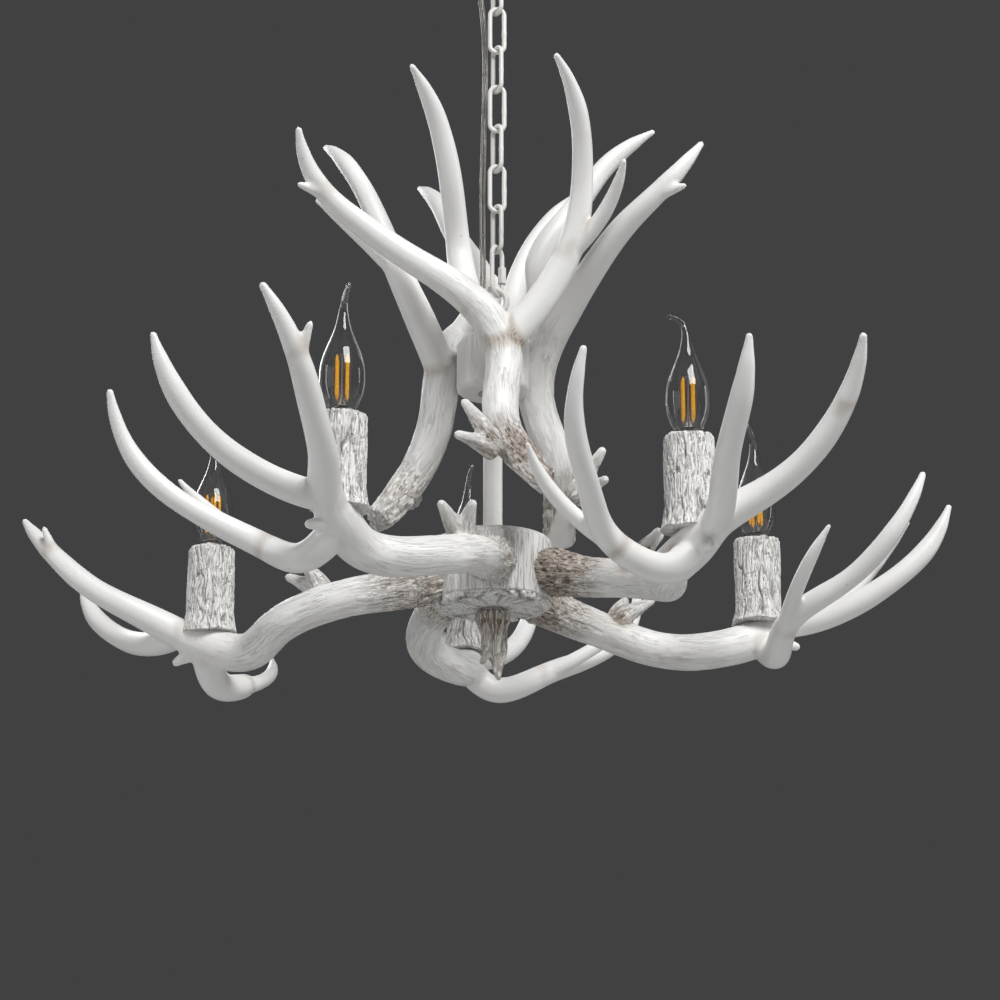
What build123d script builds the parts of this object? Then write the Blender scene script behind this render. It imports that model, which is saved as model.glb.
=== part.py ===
from build123d import *
import math
import os

# Antler chandelier: five long cast antlers round a grained hub, three more round a
# small hub above it, five candle sleeves with bent-tip bulbs, hung on a link chain.
# Millimetres, +Z up, origin in the ceiling plane at the middle of the crossbar.
# Inside the model, heights are counted from the middle of the lower hub.

os.makedirs("parts", exist_ok=True)

# ---- driving sizes ----
clearance = 0.3        # between pieces that move past each other
fit_gap = 0.05         # radial, turning fits

hub_r = 49.0           # lower hub
hub_h = 60.0
hub_wall = 12.0
hub_roof = 18.0
hub_ridges = 18        # upright grain of the hubs
grain_depth = 1.2
top_ridges = 12
top_grain = 1.6
cover_h = 6.0          # bottom cover with its radial grooves
cover_groove = 2.2

rod_r = 8.0            # hanging rod
rod_bore_r = 5.0
rod_gap = 127.0        # open rod between the two hubs
nut_r = 12.0
nut_h = 6.0

top_hub_r = 31.0       # upper hub
top_hub_h = 49.0

beam_r = 16.5          # antler beam, at its fork
saddle_bite = 1.2      # how far an upper beam is let into its hub
candle_reach = 194.0   # candle axis, out from the hub's wall
fork_drop = 30.0       # centre of the fork, under the hub's middle
screw_r = 3.0
screw_grip = 28.0      # screw in an antler's root
screw_head_r = 5.5
screw_head_h = 4.0

sleeve_r = 19.0        # candle sleeves
sleeve_h = 79.0
sleeve_foot_r = 22.5
sleeve_wall = 3.6
sleeve_floor = 16.0
bark_depth = 1.5
seat_lift = 10.0       # foot of a sleeve over the centre of the fork

cap_r = 7.0            # screw cap of a bulb
cap_h = 24.0
contact_h = 2.5
holder_r = 13.0        # lampholder
holder_h = 48.0
holder_inset = 2.0     # lampholder's rim under the sleeve's
nipple_r = 5.0
nipple_h = 12.0
bulb_r = 17.5
bulb_h = 96.0
glass_wall = 0.8
filament_h = 34.0
filament_r = 1.1

wire_r = 2.0           # chain
link_length = 46.0
link_width = 16.5
link_count = 7
quick_length = 48.0
quick_width = 20.0
quick_nut_r = 3.9
quick_nut_h = 15.0
eye_wire_r = 2.5       # rings at both ends of the chain
eye_r = 11.5
eye_stem = 20.0
chain_offset = 3.5     # the chain hangs over the centre of mass
quick_turn = 58.0      # how the links hang twisted
odd_turn = -55.0
even_turn = 5.0
hook_turn = 35.0
gate_gap = 6.0         # opening in the quick link that its nut closes

canopy_r = 60.0        # ceiling cup
canopy_h = 25.0
sheet = 1.5
bar_length = 104.0     # crossbar behind the canopy
bar_width = 22.0
bar_t = 3.0
slot_span = 80.0
slot_length = 14.0
slot_r = 2.25
stem_r = 5.0

cable_r = 2.5
cable_x = -17.0
cable_y = 8.0
grip_r = 5.5

# ---- heights from the middle of the lower hub ----
hub_top_z = hub_h / 2
hub_low_z = -hub_h / 2
upper_z = hub_top_z + rod_gap
upper_end = upper_z + top_hub_h
eye_z = upper_end + eye_stem + eye_r + eye_wire_r
eye_rise = math.sqrt(eye_r ** 2 - chain_offset ** 2)
quick_low = eye_z + eye_rise - (wire_r + eye_wire_r + clearance + 0.3)
quick_top = quick_low + quick_length - 2 * wire_r
hang = 2 * wire_r + clearance + 0.1
link_pitch = link_length - 2 * wire_r - hang
first_low = quick_top - hang
last_top = first_low + (link_count - 1) * link_pitch + link_length - 2 * wire_r
hook_z = last_top - (wire_r + eye_wire_r + clearance + 0.1) + eye_r
canopy_z = hook_z + eye_r + eye_wire_r + 4.0
ceiling_z = canopy_z + canopy_h


# ---- helpers ----
def save(name, *solids):
    shape = solids[0] if len(solids) == 1 else Compound(children=list(solids))
    shape = shape.moved(Location((-chain_offset, 0, -ceiling_z)))
    export_step(shape, "parts/" + name + ".step")


def disc(r, h, z=0.0, x=0.0, y=0.0, sides=12):
    """A faceted round bar or hole, standing on height z."""
    return Pos(x, y, z) * extrude(RegularPolygon(r, sides), h)


def hexagon(r, h, z=0.0, x=0.0, y=0.0):
    return Pos(x, y, z) * extrude(RegularPolygon(r, 6), h)


def one(shape):
    """The single solid of a shape."""
    return shape.solids().sort_by(SortBy.VOLUME)[-1]


def gear_points(r, depth, n, turn=0.0):
    """Ridged outline: n ridges at r with hollows between them."""
    pts = []
    for i in range(2 * n):
        a = math.radians(turn + 180.0 * i / n)
        q = r if i % 2 == 0 else r - depth
        pts.append((q * math.cos(a), q * math.sin(a)))
    return pts


def faceted(rings):
    """Solid with flat facets through rings that all have the same number of points."""
    faces = [Face(Wire.make_polygon(ring, close=True)) for ring in (rings[0], rings[-1])]
    count = len(rings[0])
    for low, high in zip(rings, rings[1:]):
        for i in range(count):
            j = (i + 1) % count
            a, b, c, d = low[i], low[j], high[j], high[i]
            lean = abs((b - a).cross(d - a).normalized().dot(c - a))
            corners = [[a, b, c, d]] if lean < 1e-7 else [[a, b, c], [a, c, d]]
            faces += [Face(Wire.make_polygon(p, close=True)) for p in corners]
    return Solid(Shell(faces))


def ridged(rings, depth, n):
    """Faceted solid with n upright ridges, through rings given as (height, radius)."""
    return faceted([[Vector(x, y, z) for x, y in gear_points(r, depth, n)] for z, r in rings])


def tine(stations, sides, step):
    """A tine: a smooth centre line through the stations (outward, right, up, radius),
    faceted round and rounded at its tip."""
    pts = [Vector(t, -o, z) for o, t, z, r in stations]
    line = Spline(*pts) if len(pts) > 2 else Line(*pts)
    marks = [line.param_at_point(p) for p in pts]
    radii = [s[3] for s in stations]
    count = max(2, round(line.length / step))
    side = (pts[-1] - pts[0]).cross(Vector(0.2, 0.3, 1.0)).normalized()
    tip = radii[-1] * 0.8 / line.length
    spots = [i / count * (1 - tip) for i in range(count + 1)]
    rings = []
    for u in spots:
        k = max(j for j in range(len(marks)) if marks[j] <= u + 1e-9)
        k = min(k, len(marks) - 2)
        w = (u - marks[k]) / (marks[k + 1] - marks[k])
        r = radii[k] * (1 - w) + radii[k + 1] * w
        rings.append(outline(line, u, r, sides, side))
    rings.append(outline(line, 1 - 0.2 * tip, radii[-1] * 0.55, sides, side))
    return faceted(rings)


def outline(line, u, r, sides, side):
    """One faceted section of a tine, square to its centre line."""
    normal = line.tangent_at(u)
    across = (side - normal * side.dot(normal)).normalized()
    plane = Plane(origin=line.position_at(u), x_dir=across, z_dir=normal)
    angles = [2 * math.pi * (i + 0.5) / sides for i in range(sides)]
    return [plane.from_local_coords((r * math.cos(a), r * math.sin(a), 0)) for a in angles]


# ---- lower casting, in its own frame: outward, right, up from the hub's middle ----
fork = (hub_r + candle_reach + 2, 2, -fork_drop)
fork_2 = (hub_r + 218, 3, -18)
root = (hub_r + 5, 27, -7)


def lower_antler():
    h = hub_r
    beam = tine([(h - 14, 20, -2, 19), (*root, 20), (h + 22, 33, -12, 17), (h + 69, 46, -22, 15.5),
                 (h + 121, 40, -37, 15.5), (h + 161, 6, -42, 15.5), (*fork, beam_r), (*fork_2, 13),
                 (h + 253, 18, 0, 11), (h + 291, 30, 23, 9.5), (h + 326, 33, 57, 8.5),
                 (h + 358, 20, 97, 3.5)], 7, 44)
    burr = tine([(h - 4, 24, -5, 24), (h + 9, 28, -8, 22), (h + 15, 30, -9.5, 17)], 7, 10)
    hook_tine = tine([(*fork, 13), (h + 195, -27, -54, 12), (h + 186, -69, -41, 10.5),
                      (h + 214, -116, -18, 8.5), (h + 244, -156, 18, 7.5), (h + 269, -168, 67, 3.5)], 6, 46)
    side_tine = tine([(h + 186, -69, -41, 8), (h + 179, -102, -24, 6.5), (h + 180, -131, -4, 5),
                      (h + 188, -154, 19, 2.8)], 5, 36)
    brow = tine([(*fork_2, 11), (h + 252, -22, -13, 10.5), (h + 291, -52, 8, 9.5),
                 (h + 324, -69, 39, 8.5), (h + 343, -79, 77, 3.5)], 6, 44)
    snag = tine([(h + 322, 33, 52, 7), (h + 329, 46, 76, 3)], 5, 30)
    prong = tine([(h + 81, 41, -14, 9), (h + 97, 40, -2, 6.5), (h + 112, 40, 7, 3)], 5, 20)
    prong_2 = tine([(h + 82, 43, -12, 9), (h + 90, 51, 3, 6), (h + 97, 59, 13, 3)], 5, 20)
    nub = tine([(*fork, 10), (h + 228, -8, -40, 4)], 5, 20)
    return one(beam.fuse(burr, hook_tine, side_tine, brow, snag, prong, prong_2, nub))


# ---- upper casting: the same antler, stood on end against the upper hub ----
saddle = top_hub_r + beam_r - saddle_bite


def upper_antler():
    s, z = saddle, upper_z
    beam = tine([(s + 41, 42, z - 105, 20), (s + 33, 26, z - 80, 17.5), (s + 25, 11, z - 57, 15),
                 (s + 7, 6, z - 16, 15), (s, 6, z + 27, beam_r), (s + 5, -21, z + 65, 14),
                 (s + 8, -66, z + 96, 11.5), (s + 15, -111, z + 126, 10), (s + 34, -147, z + 155, 8.5),
                 (s + 61, -162, z + 193, 3.5)], 7, 44)
    burr = tine([(s + 42, 43, z - 107, 20), (s + 38, 35, z - 96, 23.5), (s + 33, 27, z - 83, 17.5)], 7, 10)
    mount_tine = tine([(s, 6, z + 27, 14), (s - 5, 42, z + 70, 13), (s + 5, 68, z + 118, 11),
                       (s + 22, 74, z + 170, 9), (s + 54, 69, z + 213, 8), (s + 98, 48, z + 243, 3.5)], 6, 46)
    side_tine = tine([(s + 3, 62, z + 103, 8), (s + 31, 95, z + 138, 6), (s + 65, 106, z + 165, 2.8)], 5, 36)
    brow = tine([(s + 5, -21, z + 65, 12), (s - 19, -29, z + 115, 11), (s + 10, -36, z + 164, 10),
                 (s + 41, -49, z + 212, 8.5), (s + 76, -70, z + 243, 3.5)], 6, 44)
    snag = tine([(s + 31, -143, z + 148, 7), (s + 43, -163, z + 150, 3)], 5, 30)
    prong = tine([(s + 36, 2, z - 77, 9), (s + 43, -11, z - 60, 6.5), (s + 48, -23, z - 45, 3)], 5, 20)
    prong_2 = tine([(s + 36, 2, z - 79, 9), (s + 42, -14, z - 76, 6), (s + 47, -30, z - 73, 3)], 5, 20)
    return one(beam.fuse(burr, mount_tine, side_tine, brow, snag, prong, prong_2))


def stand(turn, out, lift, roll, pitch):
    """Where a casting sits: turned round the rod, then its own small seating errors."""
    return Rot(0, 0, turn) * Pos(0, -out, lift) * Rot(-pitch, 0, 0) * Rot(0, -roll, 0)


first_turn = -30.0
lower_stands = [stand(first_turn + 3.0, 1.5, 3.2, -3.4, 1.9), stand(first_turn + 68.2, -0.6, 1.8, -1.2, 0.2),
                stand(first_turn + 139.6, -3.2, -4.0, -3.5, 0.1), stand(first_turn + 215.5, -0.9, 6.1, 0, 0.9),
                stand(first_turn + 287.7, 1.4, -6.6, 8.7, -3.1)]
upper_stands = [stand(1.1, 0, 1.7, 0, 0), stand(120.4, 0, -0.8, 0, 0), stand(238.9, 0, -2.1, 0, 0)]

lower = lower_antler()
upper = upper_antler()
hub_core = disc(hub_r, hub_h + 80, hub_low_z - 40, sides=hub_ridges)
upper_core = disc(top_hub_r, top_hub_h + 40, upper_z - 20, sides=top_ridges)


# ---- lower hub ----
cavity_r = hub_r - hub_wall
hub = ridged([(hub_low_z + cover_h, hub_r), (hub_top_z - 4, hub_r), (hub_top_z, hub_r - 4)],
             grain_depth, hub_ridges)
hub -= disc(cavity_r, hub_h - cover_h - hub_roof, hub_low_z + cover_h, sides=hub_ridges)
hub -= disc(rod_r + fit_gap, hub_h, hub_low_z + cover_h)

# ---- antlers, their screws and the candles on them ----
screws = []
studs = []
candles = []
for i, place in enumerate(lower_stands):
    antler = (place * lower) - hub_core
    foot = (place * Pos(root[1], -root[0], root[2])).position
    aim = math.degrees(math.atan2(foot.X, -foot.Y))
    bolt = Rot(0, 0, aim) * Pos(0, 0, foot.Z) * Rot(90, 0, 0)
    shank = bolt * disc(screw_r, hub_wall + screw_grip, cavity_r, sides=6)
    head = bolt * disc(screw_head_r, screw_head_h, cavity_r - screw_head_h, sides=6)
    hub -= bolt * disc(screw_r, hub_wall + 4, cavity_r - 2, sides=6)
    hub -= bolt * disc(screw_head_r + clearance, screw_head_h, cavity_r - screw_head_h, sides=6)
    antler -= bolt * disc(screw_r, screw_grip + hub_r - cavity_r, cavity_r, sides=6)
    screws.append(one(shank.fuse(head)))
    top = (place * Pos(0, -(hub_r + candle_reach), -fork_drop)).position
    base = top.Z + seat_lift
    candles.append((top.X, top.Y, base))
    nipple_z = base + sleeve_floor - nipple_h
    antler -= disc(nipple_r, nipple_h + 30, nipple_z, top.X, top.Y, 6)
    antler = one(antler)
    save("antler_low_" + str(i + 1), antler)
    sleeve = ridged([(base, sleeve_foot_r), (base + 17, sleeve_r), (base + sleeve_h - 14, sleeve_r + 0.5),
                     (base + sleeve_h, sleeve_r - 1)], bark_depth, 9)
    sleeve = sleeve.moved(Location((top.X, top.Y, 0)))
    sleeve -= disc(sleeve_r - sleeve_wall, sleeve_h, base + sleeve_floor, top.X, top.Y, 10)
    sleeve -= disc(nipple_r, sleeve_floor, base, top.X, top.Y, 6)
    sleeve = one(sleeve - antler)
    save("sleeve_" + str(i + 1), sleeve)
save("screws_low", *screws)

for i, place in enumerate(upper_stands):
    antler = (place * upper) - upper_core
    middle = (place * Pos(6, -saddle, 0)).position
    turn = math.degrees(math.atan2(middle.X, -middle.Y))
    bolt = Rot(0, 0, turn) * Pos(0, 0, upper_z + top_hub_h / 2) * Rot(90, 0, 0)
    stud = bolt * disc(screw_r, top_hub_r - 16 + beam_r + 6, 16, sides=6)
    antler -= stud
    studs.append(one(stud))
    save("antler_top_" + str(i + 1), one(antler))
save("studs_top", *studs)
save("hub_low", one(hub))

# ---- candles: lampholder, cap, glass and filaments ----
holder_low = sleeve_h - holder_inset - holder_h
glass_rings = [(0, 6.3, 0), (8, 10, 0), (19, 16, 0), (31, bulb_r, 0), (43, 15.8, 0), (57, 10, 0),
               (70, 5, 0), (84, 2.4, 2.5), (bulb_h, 0.9, 8)]


def facet_loft(rings, sides, inset=0.0):
    """Faceted round solid through rings (height, radius, sideways shift)."""
    angles = [2 * math.pi * i / sides for i in range(sides)]
    return faceted([[Vector(shift + (r - inset) * math.cos(a), (r - inset) * math.sin(a), z) for a in angles]
                    for z, r, shift in rings])


def holder():
    body = extrude(RegularPolygon(holder_r, 10), holder_h)
    body = Pos(0, 0, holder_low) * body
    depth = cap_h + contact_h + 1
    body -= Pos(0, 0, holder_low + holder_h - depth) * extrude(Circle(cap_r + fit_gap), depth)
    return body + disc(nipple_r, holder_low - sleeve_floor + nipple_h, sleeve_floor - nipple_h, sides=6)


def cap():
    rim = holder_low + holder_h
    shell = Pos(0, 0, rim - cap_h) * extrude(Circle(cap_r), cap_h)
    return shell + Pos(0, 0, rim - cap_h - contact_h) * extrude(RegularPolygon(4, 6), contact_h)


def glass():
    outer = facet_loft(glass_rings, 8)
    inner = facet_loft([(1.2, 6.4, 0)] + glass_rings[1:7], 8, glass_wall)
    return Pos(0, 0, holder_low + holder_h) * (outer - inner)


def filaments():
    foot = disc(2.4, 5.8, 1.2, sides=6)
    foot += disc(6, 0.8, 7, sides=4)
    foot += disc(6, 0.6, 7.8 + filament_h, sides=4)
    for k in range(4):
        foot += Rot(0, 0, 90 * k) * disc(filament_r, filament_h, 7.8, 4.2, 0, 4)
    return Pos(0, 0, holder_low + holder_h) * foot


tip_turns = [20, 200, 150, 10, 120]
for i, (x, y, base) in enumerate(candles):
    there = Pos(x, y, base)
    save("lampholder_" + str(i + 1), one(there * holder()))
    save("bulb_cap_" + str(i + 1), one(there * cap()))
    save("bulb_glass_" + str(i + 1), one(there * Rot(0, 0, tip_turns[i]) * glass()))
    save("bulb_filament_" + str(i + 1), one(there * filaments()))

# ---- hub cover, finial, rod, nuts and wiring block ----
cover = ridged([(hub_low_z, hub_r - 2), (hub_low_z + cover_h, hub_r - 0.3)], cover_groove, hub_ridges)
for k in range(12):
    cover -= Rot(0, 0, 30 * k) * Pos(hub_r - 18, 0, hub_low_z) * Box(22, 1.8, 2.4)
cover -= disc(rod_r + fit_gap, cover_h, hub_low_z)
save("hub_cover", one(cover))

finial = ridged([(hub_low_z - 26, 10.5), (hub_low_z - 16, 12.5), (hub_low_z - 7, 15.5),
                 (hub_low_z, 14.5)], 1.4, 8)
f = hub_low_z
finial = finial.fuse(tine([(2, 0, f - 20, 8), (3, 2, f - 36, 7.5), (4, 0, f - 50, 5), (6, -1, f - 62, 2)], 6, 16),
                     tine([(0, -2, f - 20, 7), (1, -6, f - 33, 5), (2, -11, f - 44, 2)], 6, 14),
                     tine([(0, 3, f - 20, 7), (-1, 7, f - 32, 5), (-2, 10, f - 42, 2)], 6, 14))
finial = finial - disc(rod_r + fit_gap, 12, f - 12)
save("finial", one(finial))

rod_low = hub_low_z - 11
rod_top = upper_end + 8
rod = disc(rod_r, rod_top - rod_low, rod_low) - disc(rod_bore_r, rod_top - rod_low, rod_low)
save("rod", one(rod))

nut_spots = [hub_top_z, hub_top_z - hub_roof - nut_h, upper_z]
nuts = [one(hexagon(nut_r, nut_h, z) - disc(rod_r + fit_gap, nut_h, z)) for z in nut_spots]
save("rod_nuts", *nuts)

block_top = hub_top_z - hub_roof
block_y = cavity_r - 15.5
block = Pos(0, block_y, block_top - 7) * Box(26, 11, 14)
for k in (-1, 0, 1):
    block -= disc(2.2, 5, block_top - 14, 8 * k, block_y, 6)
save("terminal_block", one(block))

top_hub = ridged([(upper_z, top_hub_r - 4), (upper_z + 4, top_hub_r), (upper_end - 5, top_hub_r),
                  (upper_end, top_hub_r - 5)], top_grain, top_ridges)
top_hub -= disc(rod_r + fit_gap, top_hub_h, upper_z)
top_hub -= hexagon(nut_r + 0.3, nut_h, upper_z)
for stud in studs:
    top_hub -= stud
grip_x = -9.0
grip_y = 16.0
top_hub -= disc(grip_r - 2, 8, upper_end - 8, grip_x, grip_y)
save("hub_top", one(top_hub))
bushing = disc(grip_r, 2.5, upper_end, grip_x, grip_y) + disc(grip_r - 2, 8, upper_end - 8, grip_x, grip_y)
save("cable_bushing", one(bushing))


# ---- chain ----
def link_path(length, width, r, bends):
    """Middle line of a link in the XZ plane: straight sides and half turns of so many bends."""
    w = width / 2 - r
    rise = length / 2 - r - w
    share = math.pi / bends
    corner = w / math.cos(share / 2)
    pts = [(w, 0)]
    for k in range(bends):
        a = share * (k + 0.5)
        pts.append((corner * math.cos(a), rise + corner * math.sin(a)))
    for k in range(bends):
        a = math.pi + share * (k + 0.5)
        pts.append((corner * math.cos(a), -rise + corner * math.sin(a)))
    return [Vector(x, 0, z) for x, z in pts]


def link(length, width, r, low, turn, x, bends=4):
    """A closed link whose lower bend has its wire's middle at height low."""
    pts = link_path(length, width, r, bends)
    path = Wire.make_polygon(pts, close=True)
    section = Plane(origin=pts[0], x_dir=(1, 0, 0), z_dir=(0, 0, 1)) * RegularPolygon(r, 6)
    body = sweep(section, path=path, transition=Transition.RIGHT)
    return one(Pos(x, 0, low + length / 2 - r) * Rot(0, 0, turn) * body)


eye_size = 2 * (eye_r + eye_wire_r)
loop = link(eye_size, eye_size, eye_wire_r, eye_z - eye_r, 0, 0, 6)
stem = facet_loft([(upper_end, 11, 0), (upper_end + 10, 11, 0), (upper_end + eye_stem + 2, 5.5, 0)], 12)
loop = loop.fuse(stem) - disc(rod_r + fit_gap, 8, upper_end)
save("loop", one(loop))

quick_w = quick_width / 2 - wire_r
quick_mid = quick_low + quick_length / 2 - wire_r
quick = link(quick_length, quick_width, wire_r, quick_low, quick_turn, chain_offset)
turned = Pos(chain_offset, 0, quick_mid) * Rot(0, 0, quick_turn)
quick -= turned * Pos(quick_w, 0, -5) * Box(5, 5, gate_gap)
save("quick_link", Compound(children=quick.solids()) if len(quick.solids()) > 1 else one(quick))
nut_low_z = -5 - gate_gap / 2 - 1.5
nut = Pos(quick_w, 0, nut_low_z) * extrude(RegularPolygon(quick_nut_r, 6), quick_nut_h)
nut -= disc(wire_r + fit_gap, quick_nut_h, nut_low_z, quick_w)
save("quick_nut", one(turned * nut))

for k in range(link_count):
    low = first_low + k * link_pitch
    turn = odd_turn if k % 2 == 0 else even_turn
    save("link_" + str(k + 1), link(link_length, link_width, wire_r, low, turn, chain_offset))

# ---- ceiling cup, crossbar and hook ----
hook_eye = link(eye_size, eye_size, eye_wire_r, hook_z - eye_r, hook_turn, chain_offset, 6)
hook_stem = disc(stem_r, ceiling_z - canopy_z + 5 - 0.2, canopy_z - 5, chain_offset)
save("hook", one(hook_eye.fuse(hook_stem.solid())))
collar = disc(12, 4, canopy_z - 4, chain_offset) - disc(stem_r + fit_gap, 4, canopy_z - 4, chain_offset)
save("hook_collar", one(collar))
hook_nut_z = ceiling_z - bar_t - 5
hook_nut = hexagon(9, 5, hook_nut_z, chain_offset) - disc(stem_r + fit_gap, 5, hook_nut_z, chain_offset)
save("hook_nut", one(hook_nut))

cup = [(canopy_z, canopy_r - 12, 0), (canopy_z + 9, canopy_r, 0), (ceiling_z, canopy_r, 0)]
hollow = [(canopy_z + sheet, canopy_r - 12 + sheet, 0), (canopy_z + 9, canopy_r, 0), (ceiling_z, canopy_r, 0)]
canopy = Pos(chain_offset, 0, 0) * (facet_loft(cup, 24) - facet_loft(hollow, 24, sheet))
canopy -= disc(stem_r + fit_gap, sheet, canopy_z, chain_offset)
canopy -= disc(grip_r - 2, sheet, canopy_z, cable_x, cable_y)
save("canopy", one(canopy))
bar = Pos(chain_offset, 0, ceiling_z - bar_t / 2) * Box(bar_length, bar_width, bar_t)
bar -= disc(stem_r + fit_gap, bar_t, ceiling_z - bar_t, chain_offset)
for side in (-1, 1):
    slot = extrude(SlotOverall(slot_length, 2 * slot_r), bar_t)
    bar -= Pos(chain_offset + side * slot_span / 2, 0, ceiling_z - bar_t) * slot
save("crossbar", one(bar))

# ---- supply cable, from the grip in the cup to the bushing in the upper hub ----
grip = disc(grip_r, 2.5, canopy_z - 2.5, cable_x, cable_y) + disc(grip_r - 2, 8, canopy_z, cable_x, cable_y)
save("cable_grip", one(grip))
cable_low = upper_end + 2.5
cable_top = canopy_z - 2.5
bends = [(1.0, 0, 0), (0.9, 0, 0), (0.75, -6.6, 8.2), (0.6, -7.2, 6.6), (0.46, -8.6, 5.2),
         (0.33, -9.2, 6.2), (0.21, -8.6, 9.4), (0.1, 0, 0), (0.0, 0, 0)]
route = []
for k, (f, x, y) in enumerate(bends):
    if k < 2:
        x, y = cable_x, cable_y
    if k > len(bends) - 3:
        x, y = grip_x, grip_y
    route.append(Vector(x, y, cable_low + f * (cable_top - cable_low)))
radii = []
for a, b, c in zip(route, route[1:], route[2:]):
    half = math.radians((b - a).get_angle(c - b) / 2)
    radii.append(0.45 * min((b - a).length, (c - b).length) / math.tan(half))
print("cable radii", [round(r) for r in radii])
line = FilletPolyline(*route, radius=radii)
start = Plane(origin=route[0], z_dir=(route[1] - route[0]))
section = start * RegularPolygon(cable_r, 6)
cable = sweep(section, path=line)
print("cable length", round(line.length, 1), "volume over section", round(cable.volume / section.area, 1))
save("cable", one(cable))

print("candles at", [(round(x, 3), round(y, 3), round(z, 3)) for x, y, z in candles])
print("ceiling plane", round(ceiling_z, 1), "above the hub's middle")
print("wire middles", round(quick_low, 2), round(first_low, 2), round(link_pitch, 2), round(hook_z - eye_r, 2))
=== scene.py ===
import logging
import math
from dataclasses import dataclass, field
from enum import Enum

import bpy
import numpy as np
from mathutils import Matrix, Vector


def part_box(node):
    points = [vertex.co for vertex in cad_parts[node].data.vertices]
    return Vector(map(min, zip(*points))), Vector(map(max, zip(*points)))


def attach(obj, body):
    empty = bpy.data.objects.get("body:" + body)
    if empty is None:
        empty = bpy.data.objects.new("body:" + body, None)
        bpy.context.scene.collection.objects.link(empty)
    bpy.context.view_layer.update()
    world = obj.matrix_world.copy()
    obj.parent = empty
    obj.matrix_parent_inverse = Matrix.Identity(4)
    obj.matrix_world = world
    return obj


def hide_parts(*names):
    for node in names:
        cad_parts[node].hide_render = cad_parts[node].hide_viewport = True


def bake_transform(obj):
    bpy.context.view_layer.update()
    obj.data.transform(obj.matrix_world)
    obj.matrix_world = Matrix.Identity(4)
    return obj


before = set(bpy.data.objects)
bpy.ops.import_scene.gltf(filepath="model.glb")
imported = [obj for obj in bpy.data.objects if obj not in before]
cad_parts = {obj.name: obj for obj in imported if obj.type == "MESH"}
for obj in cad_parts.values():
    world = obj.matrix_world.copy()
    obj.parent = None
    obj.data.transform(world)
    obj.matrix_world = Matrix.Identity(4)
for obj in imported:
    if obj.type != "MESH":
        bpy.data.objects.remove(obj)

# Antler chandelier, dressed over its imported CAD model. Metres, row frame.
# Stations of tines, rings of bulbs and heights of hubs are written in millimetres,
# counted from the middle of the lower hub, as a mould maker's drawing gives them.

log = logging.getLogger("chandelier")
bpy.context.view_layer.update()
MM = 0.001
HASH_PRIMES = (73856093, 19349663, 83492791)
HASH_SEED = 2654435
HASH_MIX = 1274126177
Stations = tuple[tuple[float, float, float, float], ...]
Point = tuple[float, float, float]
Pair = tuple[float, float]
Colour = tuple[float, float, float]
Array = np.ndarray
Material = bpy.types.Material
Object = bpy.types.Object


def hub_middle() -> Array:
    """The middle of the lower hub in the row frame, in metres, read from the CAD hub's box."""
    low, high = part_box("hub_low")
    return np.array([(low.x + high.x) / 2, (low.y + high.y) / 2, high.z - 0.030])


HUB = hub_middle()


def place(points: Array) -> Array:
    """Millimetres from the hub's middle to metres in the row frame."""
    return np.asarray(points, float) * MM + HUB


class Slot(Enum):
    """Material slots of the record."""

    RESIN = "resin"
    BARK = "bark_resin"
    HUB = "hub_resin"
    STAINED = "stained_resin"
    METAL = "white_metal"
    PLASTIC = "white_plastic"
    CABLE = "clear_cable"
    NICKEL = "nickel"
    GLASS = "clear_glass"
    FILAMENT = "filament"


class Texture(Enum):
    """How a tine is cast: the root's deep bark, the beam's long grooves, a smooth tine and so on."""

    ROOT = 0
    BEAM = 1
    TINE = 2
    PRONG = 3
    FINIAL = 4


# ---- shader maths ----
class Sock:
    """A node's output in one graph, which Python's operators turn into Math nodes."""

    def __init__(self, graph: "Graph", link: bpy.types.NodeSocket) -> None:
        """Keeps the graph and the socket."""
        self.graph = graph
        self.link = link

    def _maths(self, operation: str, left: object, right: object) -> "Sock":
        """One Math node on two values."""
        return self.graph.add("ShaderNodeMath", {"operation": operation}, {0: left, 1: right})

    def __add__(self, other: object) -> "Sock":
        """Sum."""
        return self._maths("ADD", self, other)

    __radd__ = __add__

    def __sub__(self, other: object) -> "Sock":
        """Difference."""
        return self._maths("SUBTRACT", self, other)

    def __rsub__(self, other: object) -> "Sock":
        """Difference, the other way round."""
        return self._maths("SUBTRACT", other, self)

    def __mul__(self, other: object) -> "Sock":
        """Product."""
        return self._maths("MULTIPLY", self, other)

    __rmul__ = __mul__

    def __truediv__(self, other: object) -> "Sock":
        """Quotient."""
        return self._maths("DIVIDE", self, other)

    def __pow__(self, other: object) -> "Sock":
        """Power."""
        return self._maths("POWER", self, other)

    def __abs__(self) -> "Sock":
        """Absolute value."""
        return self.graph.add("ShaderNodeMath", {"operation": "ABSOLUTE"}, {0: self})

    def line(self, middle: float, reach: float) -> "Sock":
        """1 where the value passes middle, falling to 0 at reach on either side."""
        return 1 - abs(self - middle).ramp(0.0, reach)

    def ramp(self, low: float, high: float) -> "Sock":
        """0 under low, 1 over high and a smooth step between."""
        settings = {"interpolation_type": "SMOOTHSTEP"}
        sockets = {0: self, 1: low, 2: high, 3: 0.0, 4: 1.0}
        return self.graph.add("ShaderNodeMapRange", settings, sockets)


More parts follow.
